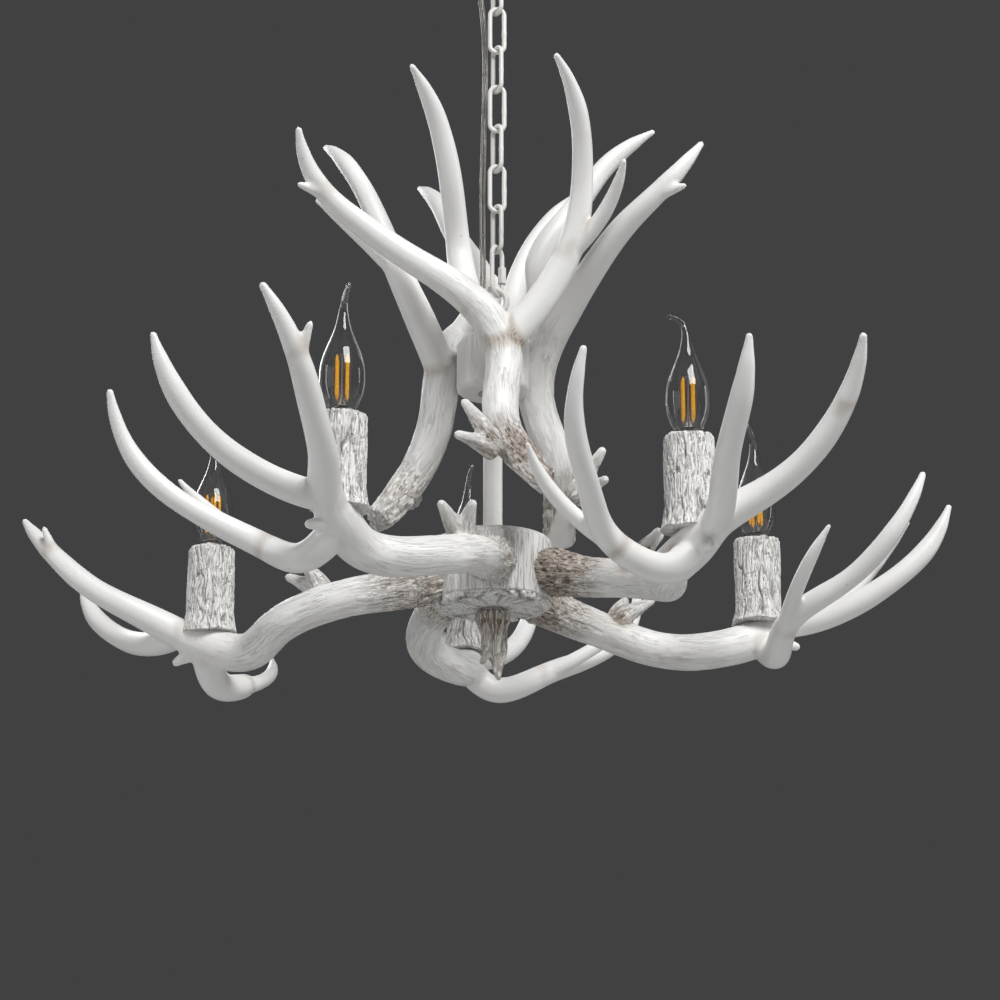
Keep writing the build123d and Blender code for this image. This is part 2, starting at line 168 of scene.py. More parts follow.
class Graph:
    """The node tree of one material."""

    def __init__(self, name: str) -> None:
        """Starts an empty material with an output."""
        self.material = bpy.data.materials.new(name)
        self.material.use_nodes = True
        self.tree = self.material.node_tree
        self.tree.nodes.clear()
        self.output = self.tree.nodes.new("ShaderNodeOutputMaterial")

    def add(self, kind: str, settings: dict, sockets: dict, out: str | int = 0) -> Sock:
        """Adds one node.

        Args:
            kind: the node's type.
            settings: its properties, set first.
            sockets: input name or number to a value or a Sock.
            out: which output is handed back.

        Returns:
            The chosen output.
        """
        node = self.tree.nodes.new(kind)
        for key, value in settings.items():
            setattr(node, key, value)
        for key, value in sockets.items():
            if isinstance(value, Sock):
                self.tree.links.new(value.link, node.inputs[key])
            elif isinstance(value, tuple) and node.inputs[key].type == "RGBA":
                node.inputs[key].default_value = (*value, 1.0)
            else:
                node.inputs[key].default_value = value
        return Sock(self, node.outputs[out])

    def mix(self, factor: object, first: object, second: object) -> Sock:
        """Colour mix of two colours; the factor is kept within 0 and 1."""
        settings = {"data_type": "RGBA", "clamp_factor": True}
        return self.add("ShaderNodeMix", settings, {0: factor, 6: first, 7: second}, 2)

    def place(self) -> Sock:
        """Object coordinates."""
        return self.add("ShaderNodeTexCoord", {}, {}, "Object")

    def attribute(self, name: str, out: str = "Fac") -> Sock:
        """A mesh attribute by name."""
        return self.add("ShaderNodeAttribute", {"attribute_name": name}, {}, out)

    def stretch(self, vector: Sock, along: float) -> Sock:
        """A vector whose third part is scaled, so that a texture on it runs long that way."""
        return self.add("ShaderNodeMapping", {}, {"Vector": vector, "Scale": (1.0, 1.0, along)})

    def noise(
        self, vector: Sock, scale: float, detail: float = 2.0, rough: float = 0.5, twist: float = 0.0
    ) -> Sock:
        """Noise texture from 0 to 1."""
        sockets = {"Vector": vector, "Scale": scale, "Detail": detail, "Roughness": rough}
        return self.add("ShaderNodeTexNoise", {}, sockets | {"Distortion": twist})

    def bump(self, height: Sock, distance: float, strength: float) -> Sock:
        """Bump normal from a height of 0 to 1 that stands for distance metres."""
        sockets = {"Height": height, "Distance": distance, "Strength": strength}
        return self.add("ShaderNodeBump", {}, sockets)

    def surface(self, **sockets: object) -> Material:
        """Closes the tree with a Principled shader.

        Args:
            sockets: shader inputs, with "_" for a blank in their names.

        Returns:
            The finished material.
        """
        named = {key.replace("_", " "): value for key, value in sockets.items()}
        shader = self.add("ShaderNodeBsdfPrincipled", {}, named)
        self.tree.links.new(shader.link, self.output.inputs["Surface"])
        return self.material


# ---- finishes ----
@dataclass(frozen=True)
class CastResin:
    """White-painted resin of the antlers: satin, faintly mottled, with a brown wash left in its hollows.

    The mesh brings three attributes: "lie", metres along and round a tine, which the grain follows;
    "wash", how much brown paint is left; and "bark", how rough the casting is there. Hairlines lie
    where a long noise crosses its middle, and the root's short strokes where a shorter one does.
    """

    name: str = "antler_resin"
    white: Colour = (0.86, 0.855, 0.84)
    warm: Colour = (0.60, 0.57, 0.53)
    wash: Colour = (0.50, 0.425, 0.36)
    pit: Colour = (0.12, 0.088, 0.066)
    grain_depth: float = 0.0008
    roughness: float = 0.36
    cloud_scale: float = 16.0
    fine_scale: float = 330.0
    hair_scale: float = 640.0
    stroke_scale: float = 560.0
    grit_scale: float = 480.0
    patch_scale: float = 60.0
    speck_scale: float = 90.0
    chance_scale: float = 37.0

    def build(self) -> Material:
        """Makes the material."""
        g = Graph(self.name)
        spot = g.place()
        lie, wash, bark = g.attribute("lie", "Vector"), g.attribute("wash"), g.attribute("bark")
        cloud = g.noise(spot, self.cloud_scale, 3.0, 0.6)
        fine = g.noise(spot, self.fine_scale, 3.0, 0.65)
        hairs = g.noise(g.stretch(lie, 0.055), self.hair_scale, 2.0, 0.5, 0.2)
        strokes = g.noise(g.stretch(lie, 0.30), self.stroke_scale, 2.0, 0.55, 0.9)
        grit = g.noise(g.stretch(lie, 0.34), self.grit_scale, 3.0, 0.6, 0.6)
        patches = g.noise(g.stretch(lie, 0.5), self.patch_scale)
        sockets = {"Vector": spot, "Scale": self.speck_scale, "Randomness": 1.0}
        cells = g.add("ShaderNodeTexVoronoi", {}, sockets, "Distance")
        chance = g.noise(spot, self.chance_scale, 1.0)
        speck = (1 - cells.ramp(0.05, 0.11)) * chance.ramp(0.60, 0.66)
        hair = hairs.line(0.5, 0.040) * bark.ramp(0.02, 0.24) * patches.ramp(0.34, 0.54)
        stroke = strokes.line(0.5, 0.055) * bark.ramp(0.36, 0.72)
        deep = stroke * wash.ramp(0.12, 0.55) * fine.ramp(0.36, 0.50)
        deep = deep + wash.ramp(0.66, 1.0) * grit.ramp(0.50, 0.60)
        colour = g.mix(cloud.ramp(0.50, 0.78) * 0.22, self.white, self.warm)
        colour = g.mix(hair * 0.50, colour, self.warm)
        colour = g.mix(wash * (0.50 + fine * 0.8), colour, self.wash)
        colour = g.mix(stroke * (0.35 + wash * 1.1), colour, self.wash)
        colour = g.mix(deep * 0.80, colour, self.pit)
        colour = g.mix(speck * 0.5, colour, self.wash)
        normal = g.bump(fine * (0.06 + bark * 0.45) - hair * 0.40 - stroke * 1.0, self.grain_depth, 0.9)
        gloss = self.roughness + fine * 0.08 + wash * 0.3 + bark * 0.08
        return g.surface(Base_Color=colour, Roughness=gloss, Normal=normal, Specular_IOR_Level=0.5)


@dataclass(frozen=True)
class UprightGrain:
    """White resin with fine upright wood grain, as on both hubs; the grain runs along Z."""

    name: str
    white: Colour = (0.80, 0.79, 0.775)
    dark: Colour = (0.27, 0.25, 0.225)
    spread: float = 500.0
    depth: float = 0.0005
    amount: float = 0.68
    mottle: Colour = (0.66, 0.64, 0.61)

    def build(self) -> Material:
        """Makes the material."""
        g = Graph(self.name)
        spot = g.place()
        lines = g.noise(g.stretch(spot, 0.045), self.spread, 2.0, 0.55, 0.12)
        broad = g.noise(g.stretch(spot, 0.10), self.spread * 0.20)
        fine = g.noise(spot, 260.0)
        crack = lines.line(0.5, 0.042) * broad.ramp(0.24, 0.46)
        colour = g.mix(broad.ramp(0.5, 0.75) * 0.12, self.white, self.mottle)
        colour = g.mix(crack * self.amount, colour, self.dark)
        normal = g.bump(broad * 0.5 + fine * 0.15 - crack, self.depth, 0.85)
        return g.surface(Base_Color=colour, Roughness=0.48 + crack * 0.25, Normal=normal)


@dataclass(frozen=True)
class Bark:
    """Deeply cast bark: white on its cords, with darker paint left in the narrow gaps between them."""

    name: str
    ridge: Colour = (0.84, 0.83, 0.81)
    hollow: Colour = (0.13, 0.12, 0.105)
    amount: float = 0.76
    scale: float = 480.0
    lean: float = 0.13
    depth: float = 0.0010

    def build(self) -> Material:
        """Makes the material."""
        g = Graph(self.name)
        spot = g.place()
        cords = g.noise(g.stretch(spot, self.lean), self.scale, 2.0, 0.55, 0.7)
        grit = g.noise(spot, 700.0)
        some = g.noise(spot, 150.0).ramp(0.34, 0.60)
        gap = cords.line(0.5, 0.055) * (0.25 + some * 0.75)
        worn = g.attribute("wash") * self.amount * (0.7 + grit * 0.6)
        colour = g.mix(worn, self.ridge, self.hollow)
        colour = g.mix(gap * 0.62 * self.amount, colour, self.hollow)
        normal = g.bump(grit * 0.22 - gap, self.depth, 0.9)
        return g.surface(Base_Color=colour, Roughness=0.55 + grit * 0.12, Normal=normal)


@dataclass(frozen=True)
class PaintedMetal:
    """Off-white enamel on steel wire and sheet: faint orange peel, thin and darker along rubbed places."""

    name: str
    paint: Colour = (0.74, 0.725, 0.70)
    rubbed: Colour = (0.52, 0.50, 0.47)
    peel: float = 900.0
    roughness: float = 0.33

    def build(self) -> Material:
        """Makes the material."""
        g = Graph(self.name)
        spot = g.place()
        cloud = g.noise(spot, 60.0, 3.0, 0.6)
        colour = g.mix(cloud.ramp(0.55, 0.78) * 0.45, self.paint, self.rubbed)
        normal = g.bump(g.noise(spot, self.peel, 1.0), 0.00012, 0.5)
        return g.surface(Base_Color=colour, Roughness=self.roughness + cloud * 0.12, Normal=normal)


@dataclass(frozen=True)
class PlatedSteel:
    """Zinc- or nickel-plated steel: bright, brushed along Z and clouded by handling."""

    name: str
    metal: Colour = (0.62, 0.62, 0.60)
    dull: Colour = (0.40, 0.39, 0.37)
    roughness: float = 0.26

    def build(self) -> Material:
        """Makes the material."""
        g = Graph(self.name)
        spot = g.place()
        cloud = g.noise(spot, 90.0, 3.0)
        colour = g.mix(cloud.ramp(0.45, 0.7), self.metal, self.dull)
        normal = g.bump(g.noise(g.stretch(spot, 0.04), 1400.0), 0.00006, 0.5)
        gloss = self.roughness + cloud * 0.2
        return g.surface(Base_Color=colour, Metallic=1.0, Roughness=gloss, Normal=normal)


@dataclass(frozen=True)
class MouldedPlastic:
    """Moulded plastic with a fine spark-eroded texture."""

    name: str
    colour: Colour = (0.78, 0.775, 0.75)
    shade: Colour = (0.70, 0.69, 0.66)
    roughness: float = 0.38

    def build(self) -> Material:
        """Makes the material."""
        g = Graph(self.name)
        spot = g.place()
        grit = g.noise(spot, 1600.0)
        colour = g.mix(g.noise(spot, 40.0).ramp(0.4, 0.7), self.colour, self.shade)
        normal = g.bump(grit, 0.00004, 0.4)
        return g.surface(Base_Color=colour, Roughness=self.roughness + grit * 0.1, Normal=normal)


@dataclass(frozen=True)
class ClearGlass:
    """Thin blown glass, or with a higher roughness the clear jacket of the cable."""

    name: str
    tint: Colour = (1.0, 1.0, 1.0)
    roughness: float = 0.0
    index: float = 1.46
    waves: float = 0.00003

    def build(self) -> Material:
        """Makes the material."""
        g = Graph(self.name)
        waves = g.noise(g.place(), 60.0, 1.0)
        return g.surface(
            Base_Color=g.mix(waves, self.tint, tuple(0.97 * c for c in self.tint)),
            Roughness=self.roughness,
            Transmission_Weight=1.0,
            IOR=self.index,
            Normal=g.bump(waves, self.waves, 0.4),
        )


@dataclass(frozen=True)
class Phosphor:
    """Yellow phosphor gel over a filament strip, a little uneven along its length, with a faint painted glow
    of its own colour.
    """

    name: str = "yellow_phosphor"
    gel: Colour = (1.0, 0.53, 0.03)
    deep: Colour = (0.92, 0.38, 0.012)

    def build(self) -> Material:
        """Makes the material."""
        g = Graph(self.name)
        beads = g.noise(g.place(), 520.0)
        colour = g.mix(beads.ramp(0.35, 0.65), self.deep, self.gel)
        return g.surface(
            Base_Color=colour,
            Roughness=0.35,
            Normal=g.bump(beads, 0.0002, 0.5),
            # Painted glow: the gel gives off a faint light of its own colour, which brightens it as if the
            # filament were lit.
            Emission_Color=colour,
            Emission_Strength=0.3,
        )


# ---- surfaces ----
def circle(count: int) -> Array:
    """Angles of count points evenly round a circle."""
    return np.linspace(0, 2 * math.pi, count, endpoint=False)


def run_along(path: Array) -> Array:
    """Distance along a path up to each of its points."""
    return np.concatenate([[0.0], np.cumsum(np.linalg.norm(np.diff(path, axis=0), axis=1))])


def unit(vectors: Array) -> Array:
    """Each row divided by its length."""
    return vectors / np.linalg.norm(vectors, axis=1)[:, None]


def value_noise(points: Array, seed: int) -> Array:
    """Smooth noise from -1 to 1: hashed numbers at the corners of unit cells, blended by 3t^2 - 2t^3.

    Args:
        points: (n, 3) places, in cells.
        seed: picks one noise among many.

    Returns:
        (n,) values.
    """
    base = np.floor(points).astype(np.int64)
    t = points - base
    t = t * t * (3 - 2 * t)
    total = np.zeros(len(points))
    for corner in range(8):
        offset = np.array([corner & 1, (corner >> 1) & 1, (corner >> 2) & 1])
        x, y, z = (cell * prime for cell, prime in zip((base + offset).T, HASH_PRIMES))
        h = x ^ y ^ z ^ (seed * HASH_SEED)
        h = (h ^ (h >> 13)) * HASH_MIX & 0x7FFFFFFF
        value = ((h ^ (h >> 15)) & 0xFFFF) / 32767.5 - 1
        total += value * np.prod(np.where(offset, t, 1 - t), axis=1)
    return total


def noise_on(grid: Array, cells: Point, seed: int) -> Array:
    """value_noise over a (rows, around, 3) grid of places, with so many cells per unit of each axis."""
    return value_noise((grid * cells).reshape(-1, 3), seed).reshape(grid.shape[:2])


def smooth_step(value: Array, low: float, high: float) -> Array:
    """0 under low, 1 over high, 3t^2 - 2t^3 between."""
    t = np.clip((value - low) / (high - low), 0, 1)
    return t * t * (3 - 2 * t)


def spline_through(points: Array, at: Array) -> Array:
    """Cubic spline with even curvature through points, spaced by their distances.

    The slopes m solve the usual three-term equations of a twice smooth cubic; at both ends the slope is
    that of the parabola through the last three points. Between two points the curve is the Hermite cubic.

    Args:
        points: (k, d) points that the curve passes.
        at: (n,) positions from 0 to 1 along the distances.

    Returns:
        (n, d) points of the curve.
    """
    gaps = np.linalg.norm(np.diff(points[:, :3], axis=0), axis=1)
    knots = run_along(points[:, :3])
    s = at * knots[-1]
    if len(points) == 2:
        return points[0] + (points[1] - points[0]) * (s / knots[-1])[:, None]
    rise = np.diff(points, axis=0) / gaps[:, None]
    first = rise[0] + (rise[0] - rise[1]) * gaps[0] / (gaps[0] + gaps[1])
    last = rise[-1] + (rise[-1] - rise[-2]) * gaps[-1] / (gaps[-1] + gaps[-2])
    count = len(points)
    system = np.eye(count)
    inner = np.arange(1, count - 1)
    system[inner, inner - 1] = gaps[1:]
    system[inner, inner] = 2 * (gaps[1:] + gaps[:-1])
    system[inner, inner + 1] = gaps[:-1]
    right = 3 * (gaps[1:, None] * rise[:-1] + gaps[:-1, None] * rise[1:])
    slopes = np.linalg.solve(system, np.vstack([first, right, last]))
    k = np.clip(np.searchsorted(knots, s, side="right") - 1, 0, count - 2)
    h = gaps[k][:, None]
    t = ((s - knots[k]) / gaps[k])[:, None]
    return (
        (1 + 2 * t) * (1 - t) ** 2 * points[k]
        + t * (1 - t) ** 2 * h * slopes[k]
        + t * t * (3 - 2 * t) * points[k + 1]
        + t * t * (t - 1) * h * slopes[k + 1]
    )


def frames_along(path: Array) -> tuple[Array, Array]:
    """Side and rise at each point of a path, both square to it.

    The side is as near as it can be to one fixed direction, the last singular vector of the tangents,
    which is the direction that the whole path runs least along.
    """
    tangent = unit(np.gradient(path, axis=0))
    fixed = np.linalg.svd(tangent)[2][-1]
    side = unit(fixed - tangent * (tangent @ fixed)[:, None])
    return side, np.cross(tangent, side)


def rings_round(path: Array, side: Array, rise: Array, radii: Array, around: int) -> Array:
    """Rings of round section: centre + r (side cos a + rise sin a), as a (rings, around, 3) array."""
    angle = circle(around)[None, :, None]
    ring = side[:, None] * np.cos(angle) + rise[:, None] * np.sin(angle)
    return path[:, None] + ring * radii[:, None, None]


def tube_rings(path: Array, radii: Array, around: int) -> Array:
    """Rings of a tube along an open path."""
    return rings_round(path, *frames_along(path), radii, around)


def spun_rings(profile: Array, around: int) -> Array:
    """Rings of a turned shape, from (radius, height) pairs: (r cos a, r sin a, z)."""
    angle = circle(around)
    r, z = profile[:, 0:1], profile[:, 1:2]
    return np.stack([r * np.cos(angle), r * np.sin(angle), z + 0 * angle], axis=2)


def refine(corners: list[Pair], step: float) -> Array:
    """Divides the sides of a closed (radius, height) section into runs of at most step millimetres."""
    loop = np.array(corners + corners[:1], float)
    parts = []
    for a, b in zip(loop, loop[1:]):
        count = max(1, math.ceil(np.linalg.norm(b - a) / step))
        parts.append(a + (b - a) * np.linspace(0, 1, count, endpoint=False)[:, None])
    return np.vstack(parts)


def grid_faces(rings: int, around: int, loop: bool) -> Array:
    """Quads between rings; with loop the last ring also joins the first."""
    rows = np.arange(rings if loop else rings - 1)
    i, j = np.meshgrid(rows, np.arange(around), indexing="ij")
    up = (i + 1) % rings
    right = (j + 1) % around
    quads = [i * around + j, i * around + right, up * around + right, up * around + j]
    return np.stack(quads, axis=2).reshape(-1, 4)


def add_object(name: str, data: bpy.types.ID) -> Object:
    """Puts an object with the given data into the scene."""
    piece = bpy.data.objects.new(name, data)
    bpy.context.scene.collection.objects.link(piece)
    return piece


def new_object(name: str, points: Array, faces: list, finish: Material | None) -> Object:
    """A smooth-shaded mesh object at the origin, with its place in its mesh."""
    mesh = bpy.data.meshes.new(name)
    mesh.from_pydata(points.tolist(), [], faces)
    mesh.update()
    mesh.polygons.foreach_set("use_smooth", np.ones(len(mesh.polygons), bool))
    if finish is not None:
        mesh.materials.append(finish)
    return add_object(name, mesh)


def vertices_of(mesh: bpy.types.Mesh) -> Array:
    """Places of a mesh's vertices, as an (n, 3) array."""
    co = np.zeros(len(mesh.vertices) * 3)
    mesh.vertices.foreach_get("co", co)
    return co.reshape(-1, 3)


def corners_of(mesh: bpy.types.Mesh) -> tuple[Array, Array]:
    """The vertex at each corner of a mesh's faces, face by face, and how many corners each face has."""
    corners = np.zeros(len(mesh.loops), np.int64)
    mesh.loops.foreach_get("vertex_index", corners)
    counts = np.zeros(len(mesh.polygons), np.int64)
    mesh.polygons.foreach_get("loop_total", counts)
    return corners, counts


def final_mesh(holder: Object) -> bpy.types.Mesh:
    """The mesh that an object's curve or modifiers give; the object itself is removed."""
    graph = bpy.context.evaluated_depsgraph_get()
    mesh = bpy.data.meshes.new_from_object(holder.evaluated_get(graph))
    bpy.data.objects.remove(holder)
    return mesh


def skin(name: str, rings: Array, finish: Material | None, loop: bool = False) -> Object:
    """Skins rings of points, and closes both ends with a face unless the rings run in a loop."""
    count, around = rings.shape[:2]
    faces = grid_faces(count, around, loop).tolist()
    if not loop:
        faces.append(list(range(around))[::-1])
        faces.append(list(range((count - 1) * around, count * around)))
    return new_object(name, rings.reshape(-1, 3), faces, finish)


def turned(name: str, section: Array, around: int, axis: Pair, finish: Material) -> Object:
    """A turned shape: a closed (radius, height) section spun about the upright through axis."""
    rings = spun_rings(section, around)
    rings[:, :, :2] += axis
    return skin(name, place(rings), finish, loop=True)


def join(name: str, pieces: list[Object]) -> Object:
    """Joins pieces into one mesh object, keeping their materials."""
    points, faces, marks, finishes = [], [], [], []
    start = 0
    for piece in pieces:
        mesh = piece.data
        corners, counts = corners_of(mesh)
        points.append(vertices_of(mesh))
        faces += [face.tolist() for face in np.split(corners + start, np.cumsum(counts)[:-1])]
        if mesh.materials and mesh.materials[0] not in finishes:
            finishes.append(mesh.materials[0])
        slot = finishes.index(mesh.materials[0]) if mesh.materials else 0
        marks += [slot] * len(counts)
        start += len(mesh.vertices)
        bpy.data.objects.remove(piece)
    joined = new_object(name, np.vstack(points), faces, None)
    for finish in finishes:
        joined.data.materials.append(finish)
    joined.data.polygons.foreach_set("material_index", marks)
    return joined


def give(piece: Object, name: str, values: Array) -> None:
    """Writes a number or a vector per vertex as an attribute."""
    kind, key = ("FLOAT", "value") if values.ndim == 1 else ("FLOAT_VECTOR", "vector")
    data = piece.data.attributes.new(name, kind, "POINT").data
    data.foreach_set(key, np.ascontiguousarray(values, np.float32).ravel())


def ready(piece: Object, body: str, node: str) -> None:
    """Puts a finished piece on its body and lets it stand for its CAD node."""
    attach(piece, body)
    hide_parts(node)
    log.info("%s: %d faces on %s for %s", piece.name, len(piece.data.polygons), body, node)


def voxel_mesh(pieces: list[Array], size: float) -> tuple[Array, Array]:
    """Melts closed tubes into one skin.

    Args:
        pieces: ring arrays of the tubes, in metres.
        size: edge of a voxel.

    Returns:
        Vertices and quads of the skin.
    """
    tubes = join("blank", [skin("tube", rings, None) for rings in pieces])
    change = tubes.modifiers.new("melt", "REMESH")
    change.mode = "VOXEL"
    change.voxel_size = size
    mesh = final_mesh(tubes)
    return vertices_of(mesh), corners_of(mesh)[0].reshape(-1, 4)


def normals_of(points: Array, quads: Array) -> Array:
    """Vertex normals: the crossed diagonals of each quad, summed at its corners."""
    a, b, c, d = (points[quads[:, k]] for k in range(4))
    face = np.cross(c - a, d - b)
    total = np.stack([
        sum(np.bincount(quads[:, k], face[:, axis], len(points)) for k in range(4)) for axis in range(3)
    ], axis=1)
    return total / (np.linalg.norm(total, axis=1)[:, None] + 1e-12)


def relax(points: Array, quads: Array, weight: Array, rounds: int) -> Array:
    """Moves each vertex towards the mean of its neighbours, by its weight, rounds times."""
    edges = np.vstack([quads[:, [0, 1]], quads[:, [1, 2]], quads[:, [2, 3]], quads[:, [3, 0]]])
    start, end = edges[:, 0], edges[:, 1]
    degree = np.bincount(start, minlength=len(points)) + 1e-9
    for _ in range(rounds):
        mean = np.stack([np.bincount(start, points[end, k], len(points)) for k in range(3)], axis=1)
        points = points + (mean / degree[:, None] - points) * weight[:, None]
    return points


# ---- castings ----
@dataclass(frozen=True)
class Tine:
    """One tine of a casting: stations (outward, right, up, radius) in millimetres, and its skin.

    The last taper metres before its end thin down to tip times their radius.
    """

    stations: Stations
    texture: Texture = Texture.TINE
    tip: float = 0.70
    taper: float = 0.024

    def line(self, step: float = 2.0) -> tuple[Array, Array]:
        """Centre line and radii in metres, sampled about every step millimetres."""
        out, right, up, thick = np.array(self.stations, float).T
        points = np.stack([right, -out, up], axis=1)
        run = run_along(points)
        at = np.linspace(0, 1, max(6, round(run[-1] / step)))
        radii = np.interp(at, run / run[-1], thick)
        soft = np.convolve(np.pad(radii, 4, mode="edge"), np.ones(9) / 9, mode="valid")
        return spline_through(points, at) * MM, np.where(at < 0.9, soft, radii) * MM

    def rings(self, around: int = 20) -> Array:
        """Closed tube, rounded at both ends.

        At distance d before an end of radius r the tube keeps sqrt(1 - (1 - d/r)^2) of its radius.
        """
        path, radii = self.line()
        run = run_along(path)
        left = run[-1] - run
        radii = radii * (self.tip + (1 - self.tip) * smooth_step(left, 0, self.taper))
        for distance, r in ((left, radii[-1]), (run, radii[0] * 0.4)):
            near = np.clip(distance / r, 0.02, 1)
            radii = radii * np.sqrt(1 - (1 - near) ** 2)
        return tube_rings(path, radii, around)


@dataclass
class Casting:
    """An antler mould: tines melted into one skin, rounded where they meet, then grooved and knobbed.

    After build() it holds the skin's points, quads and the attributes lie, bark and hollow.
    """

    name: str
    tines: tuple[Tine, ...]
    voxel: float
    seed: int
    saw_at: Point | None = None
    saw_way: Point = (0.0, 0.0, -1.0)
    groove_depth: float = 0.0012
    scratch_depth: float = 0.0006
    knob_height: float = 0.0010
    swell_height: float = 0.0005
    points: Array = field(init=False)
    quads: Array = field(init=False)
    lie: Array = field(init=False)
    bark: Array = field(init=False)
    hollow: Array = field(init=False)

    def survey(self, points: Array) -> dict[str, Array]:
        """Finds each point's place on its nearest tine.

        The distance to a tine is that to its nearest centre-line point, less the radius there.

        Args:
            points: (n, 3) places, in metres from the hub's middle.

        Returns:
            The distances "best" and "second" to the two nearest tines, the nearest one's number "which",
            and there the metres "along" it, the "share" of its length, the "angle" round it and its "girth".
        """
        count = len(points)
        found = {key: np.zeros(count) for key in ("along", "share", "angle", "girth")}
        found |= {"which": np.zeros(count, int), "best": np.full(count, 1e9), "second": np.full(count, 1e9)}
        for k, tine in enumerate(self.tines):
            path, radii = tine.line(4.0)
            side, rise = frames_along(path)
            run = run_along(path)
            square = (points**2).sum(1)[:, None] - 2 * points @ path.T + (path**2).sum(1)
            nearest = square.argmin(1)
            offset = points - path[nearest]
            distance = np.linalg.norm(offset, axis=1) - radii[nearest]
            closer = distance < found["best"]
            found["second"] = np.where(closer, found["best"], np.minimum(found["second"], distance))
            here = {
                "best": distance,
                "which": k,
                "along": run[nearest],
                "share": run[nearest] / run[-1],
                "angle": np.arctan2((offset * rise[nearest]).sum(1), (offset * side[nearest]).sum(1)),
                "girth": np.maximum(radii[nearest], 0.002),
            }
            found |= {key: np.where(closer, value, found[key]) for key, value in here.items()}
        return found

    @staticmethod
    def roughness(kinds: Array, along: Array, share: Array) -> Array:
        """How deep the bark is, from 0 on a smooth tine to 1 on a root.

        Args:
            kinds: texture value of the nearest tine, by point.
            along: metres along it.
            share: share of its length.

        Returns:
            One depth per point.
        """
        beam = 0.10 * (1 - smooth_step(share, 0.45, 0.85)) + 0.9 * (1 - smooth_step(along, 0.018, 0.11))
        depths = {
            Texture.ROOT: np.ones(len(kinds)),
            Texture.BEAM: np.maximum(beam, 0.34 * (1 - smooth_step(along, 0.10, 0.30))),
            Texture.TINE: 0.05 * (1 - share),
            Texture.PRONG: 0.85 - 0.45 * share,
            Texture.FINIAL: 1.0 - 0.3 * share,
        }
        return np.select([kinds == texture.value for texture in depths], list(depths.values()))

    @staticmethod
    def spread(values: Array, quads: Array, rounds: int) -> Array:
        """Blurs a number per vertex over the skin, so that one texture fades into the next."""
        return relax(np.stack([values] * 3, axis=1), quads, np.full(len(values), 0.85), rounds)[:, 0]

    def saw(self, points: Array, kinds: Array) -> tuple[Array, Array]:
        """Saws the root off flat: what lies beyond the plane moves back on to it.

        Args:
            points: the skin, in metres from the hub's middle.
            kinds: texture value of the nearest tine, by point.

        Returns:
            The sawn skin and a mask of the sawn face.
        """
        if self.saw_at is None:
            return points, np.zeros(len(points), bool)
        way = np.array(self.saw_way) / np.linalg.norm(self.saw_way)
        beyond = (points - np.array(self.saw_at) * MM) @ way
        sawn = (beyond > 0) & (kinds <= Texture.BEAM.value)
        return points - np.outer(np.where(sawn, beyond, 0.0), way), sawn

    def build(self) -> None:
        """Makes the skin.

        Eight rounds of a step in and a slightly longer step out even it without shrinking it. Then it moves
        along its normal by long grooves, |noise(r cos a, r sin a, along)| at 5 and 3 mm, times bark; by
        knobs, the noise at 5 and 3 mm, on the root and the burr; and by a slow swell at 32 mm.
        """
        points, quads = voxel_mesh([tine.rings() for tine in self.tines], self.voxel)
        found = self.survey(points)
        crotch = 1 - smooth_step(found["second"] - found["best"], 0.0015, 0.0065)
        even = np.ones(len(points))
        for _ in range(8):
            points = relax(relax(points, quads, 0.55 * even, 1), quads, -0.57 * even, 1)
        points = relax(points, quads, 0.5 * crotch, 8)
        found = self.survey(points)
        angle, along, girth = found["angle"], found["along"], found["girth"]
        kinds = np.array([tine.texture.value for tine in self.tines])[found["which"]]
        points, sawn = self.saw(points, kinds)
        bark = self.spread(np.where(sawn, 0.12, self.roughness(kinds, along, found["share"])), quads, 6)
        burr = self.spread(np.where((kinds == Texture.ROOT.value) & ~sawn, 1.0, 0.0), quads, 16)
        lie = np.stack([girth * np.cos(angle), girth * np.sin(angle), along], axis=1)
        shift = found["which"][:, None] * 7.3
        sway = 0.5 * value_noise(points / 0.018, self.seed + 5)[:, None]
        broad = np.abs(value_noise(lie / (0.0052, 0.0052, 0.055) + shift + sway, self.seed))
        fine = np.abs(value_noise(lie / (0.0031, 0.0031, 0.022) + shift + sway, self.seed + 1))
        knobs = value_noise(points / 0.0052, self.seed + 2)
        knobs += 0.6 * value_noise(points / 0.0030, self.seed + 3)
        swell = value_noise(points / 0.032, self.seed + 4)
        groove = 1 - smooth_step(broad, 0.0, 0.28)
        scratch = 1 - smooth_step(fine, 0.0, 0.30)
        rough = smooth_step(bark, 0.45, 1.0)
        rise = self.swell_height * swell - self.groove_depth * bark * groove
        rise -= self.scratch_depth * bark * scratch
        rise += self.knob_height * knobs * (0.5 * rough + 1.5 * burr)
        self.points = points + normals_of(points, quads) * rise[:, None]
        self.quads, self.lie, self.bark = quads, lie, bark
        pits = smooth_step(-knobs, 0.15, 0.75) * np.clip(rough + burr, 0, 1)
        dab = crotch * smooth_step(value_noise(points / 0.02, self.seed + 6), -0.1, 0.5)
        self.hollow = np.clip(0.55 * groove * bark + 0.35 * scratch * rough + 0.9 * pits + 0.85 * dab, 0, 1)
        log.info("casting %s: %d points", self.name, len(points))


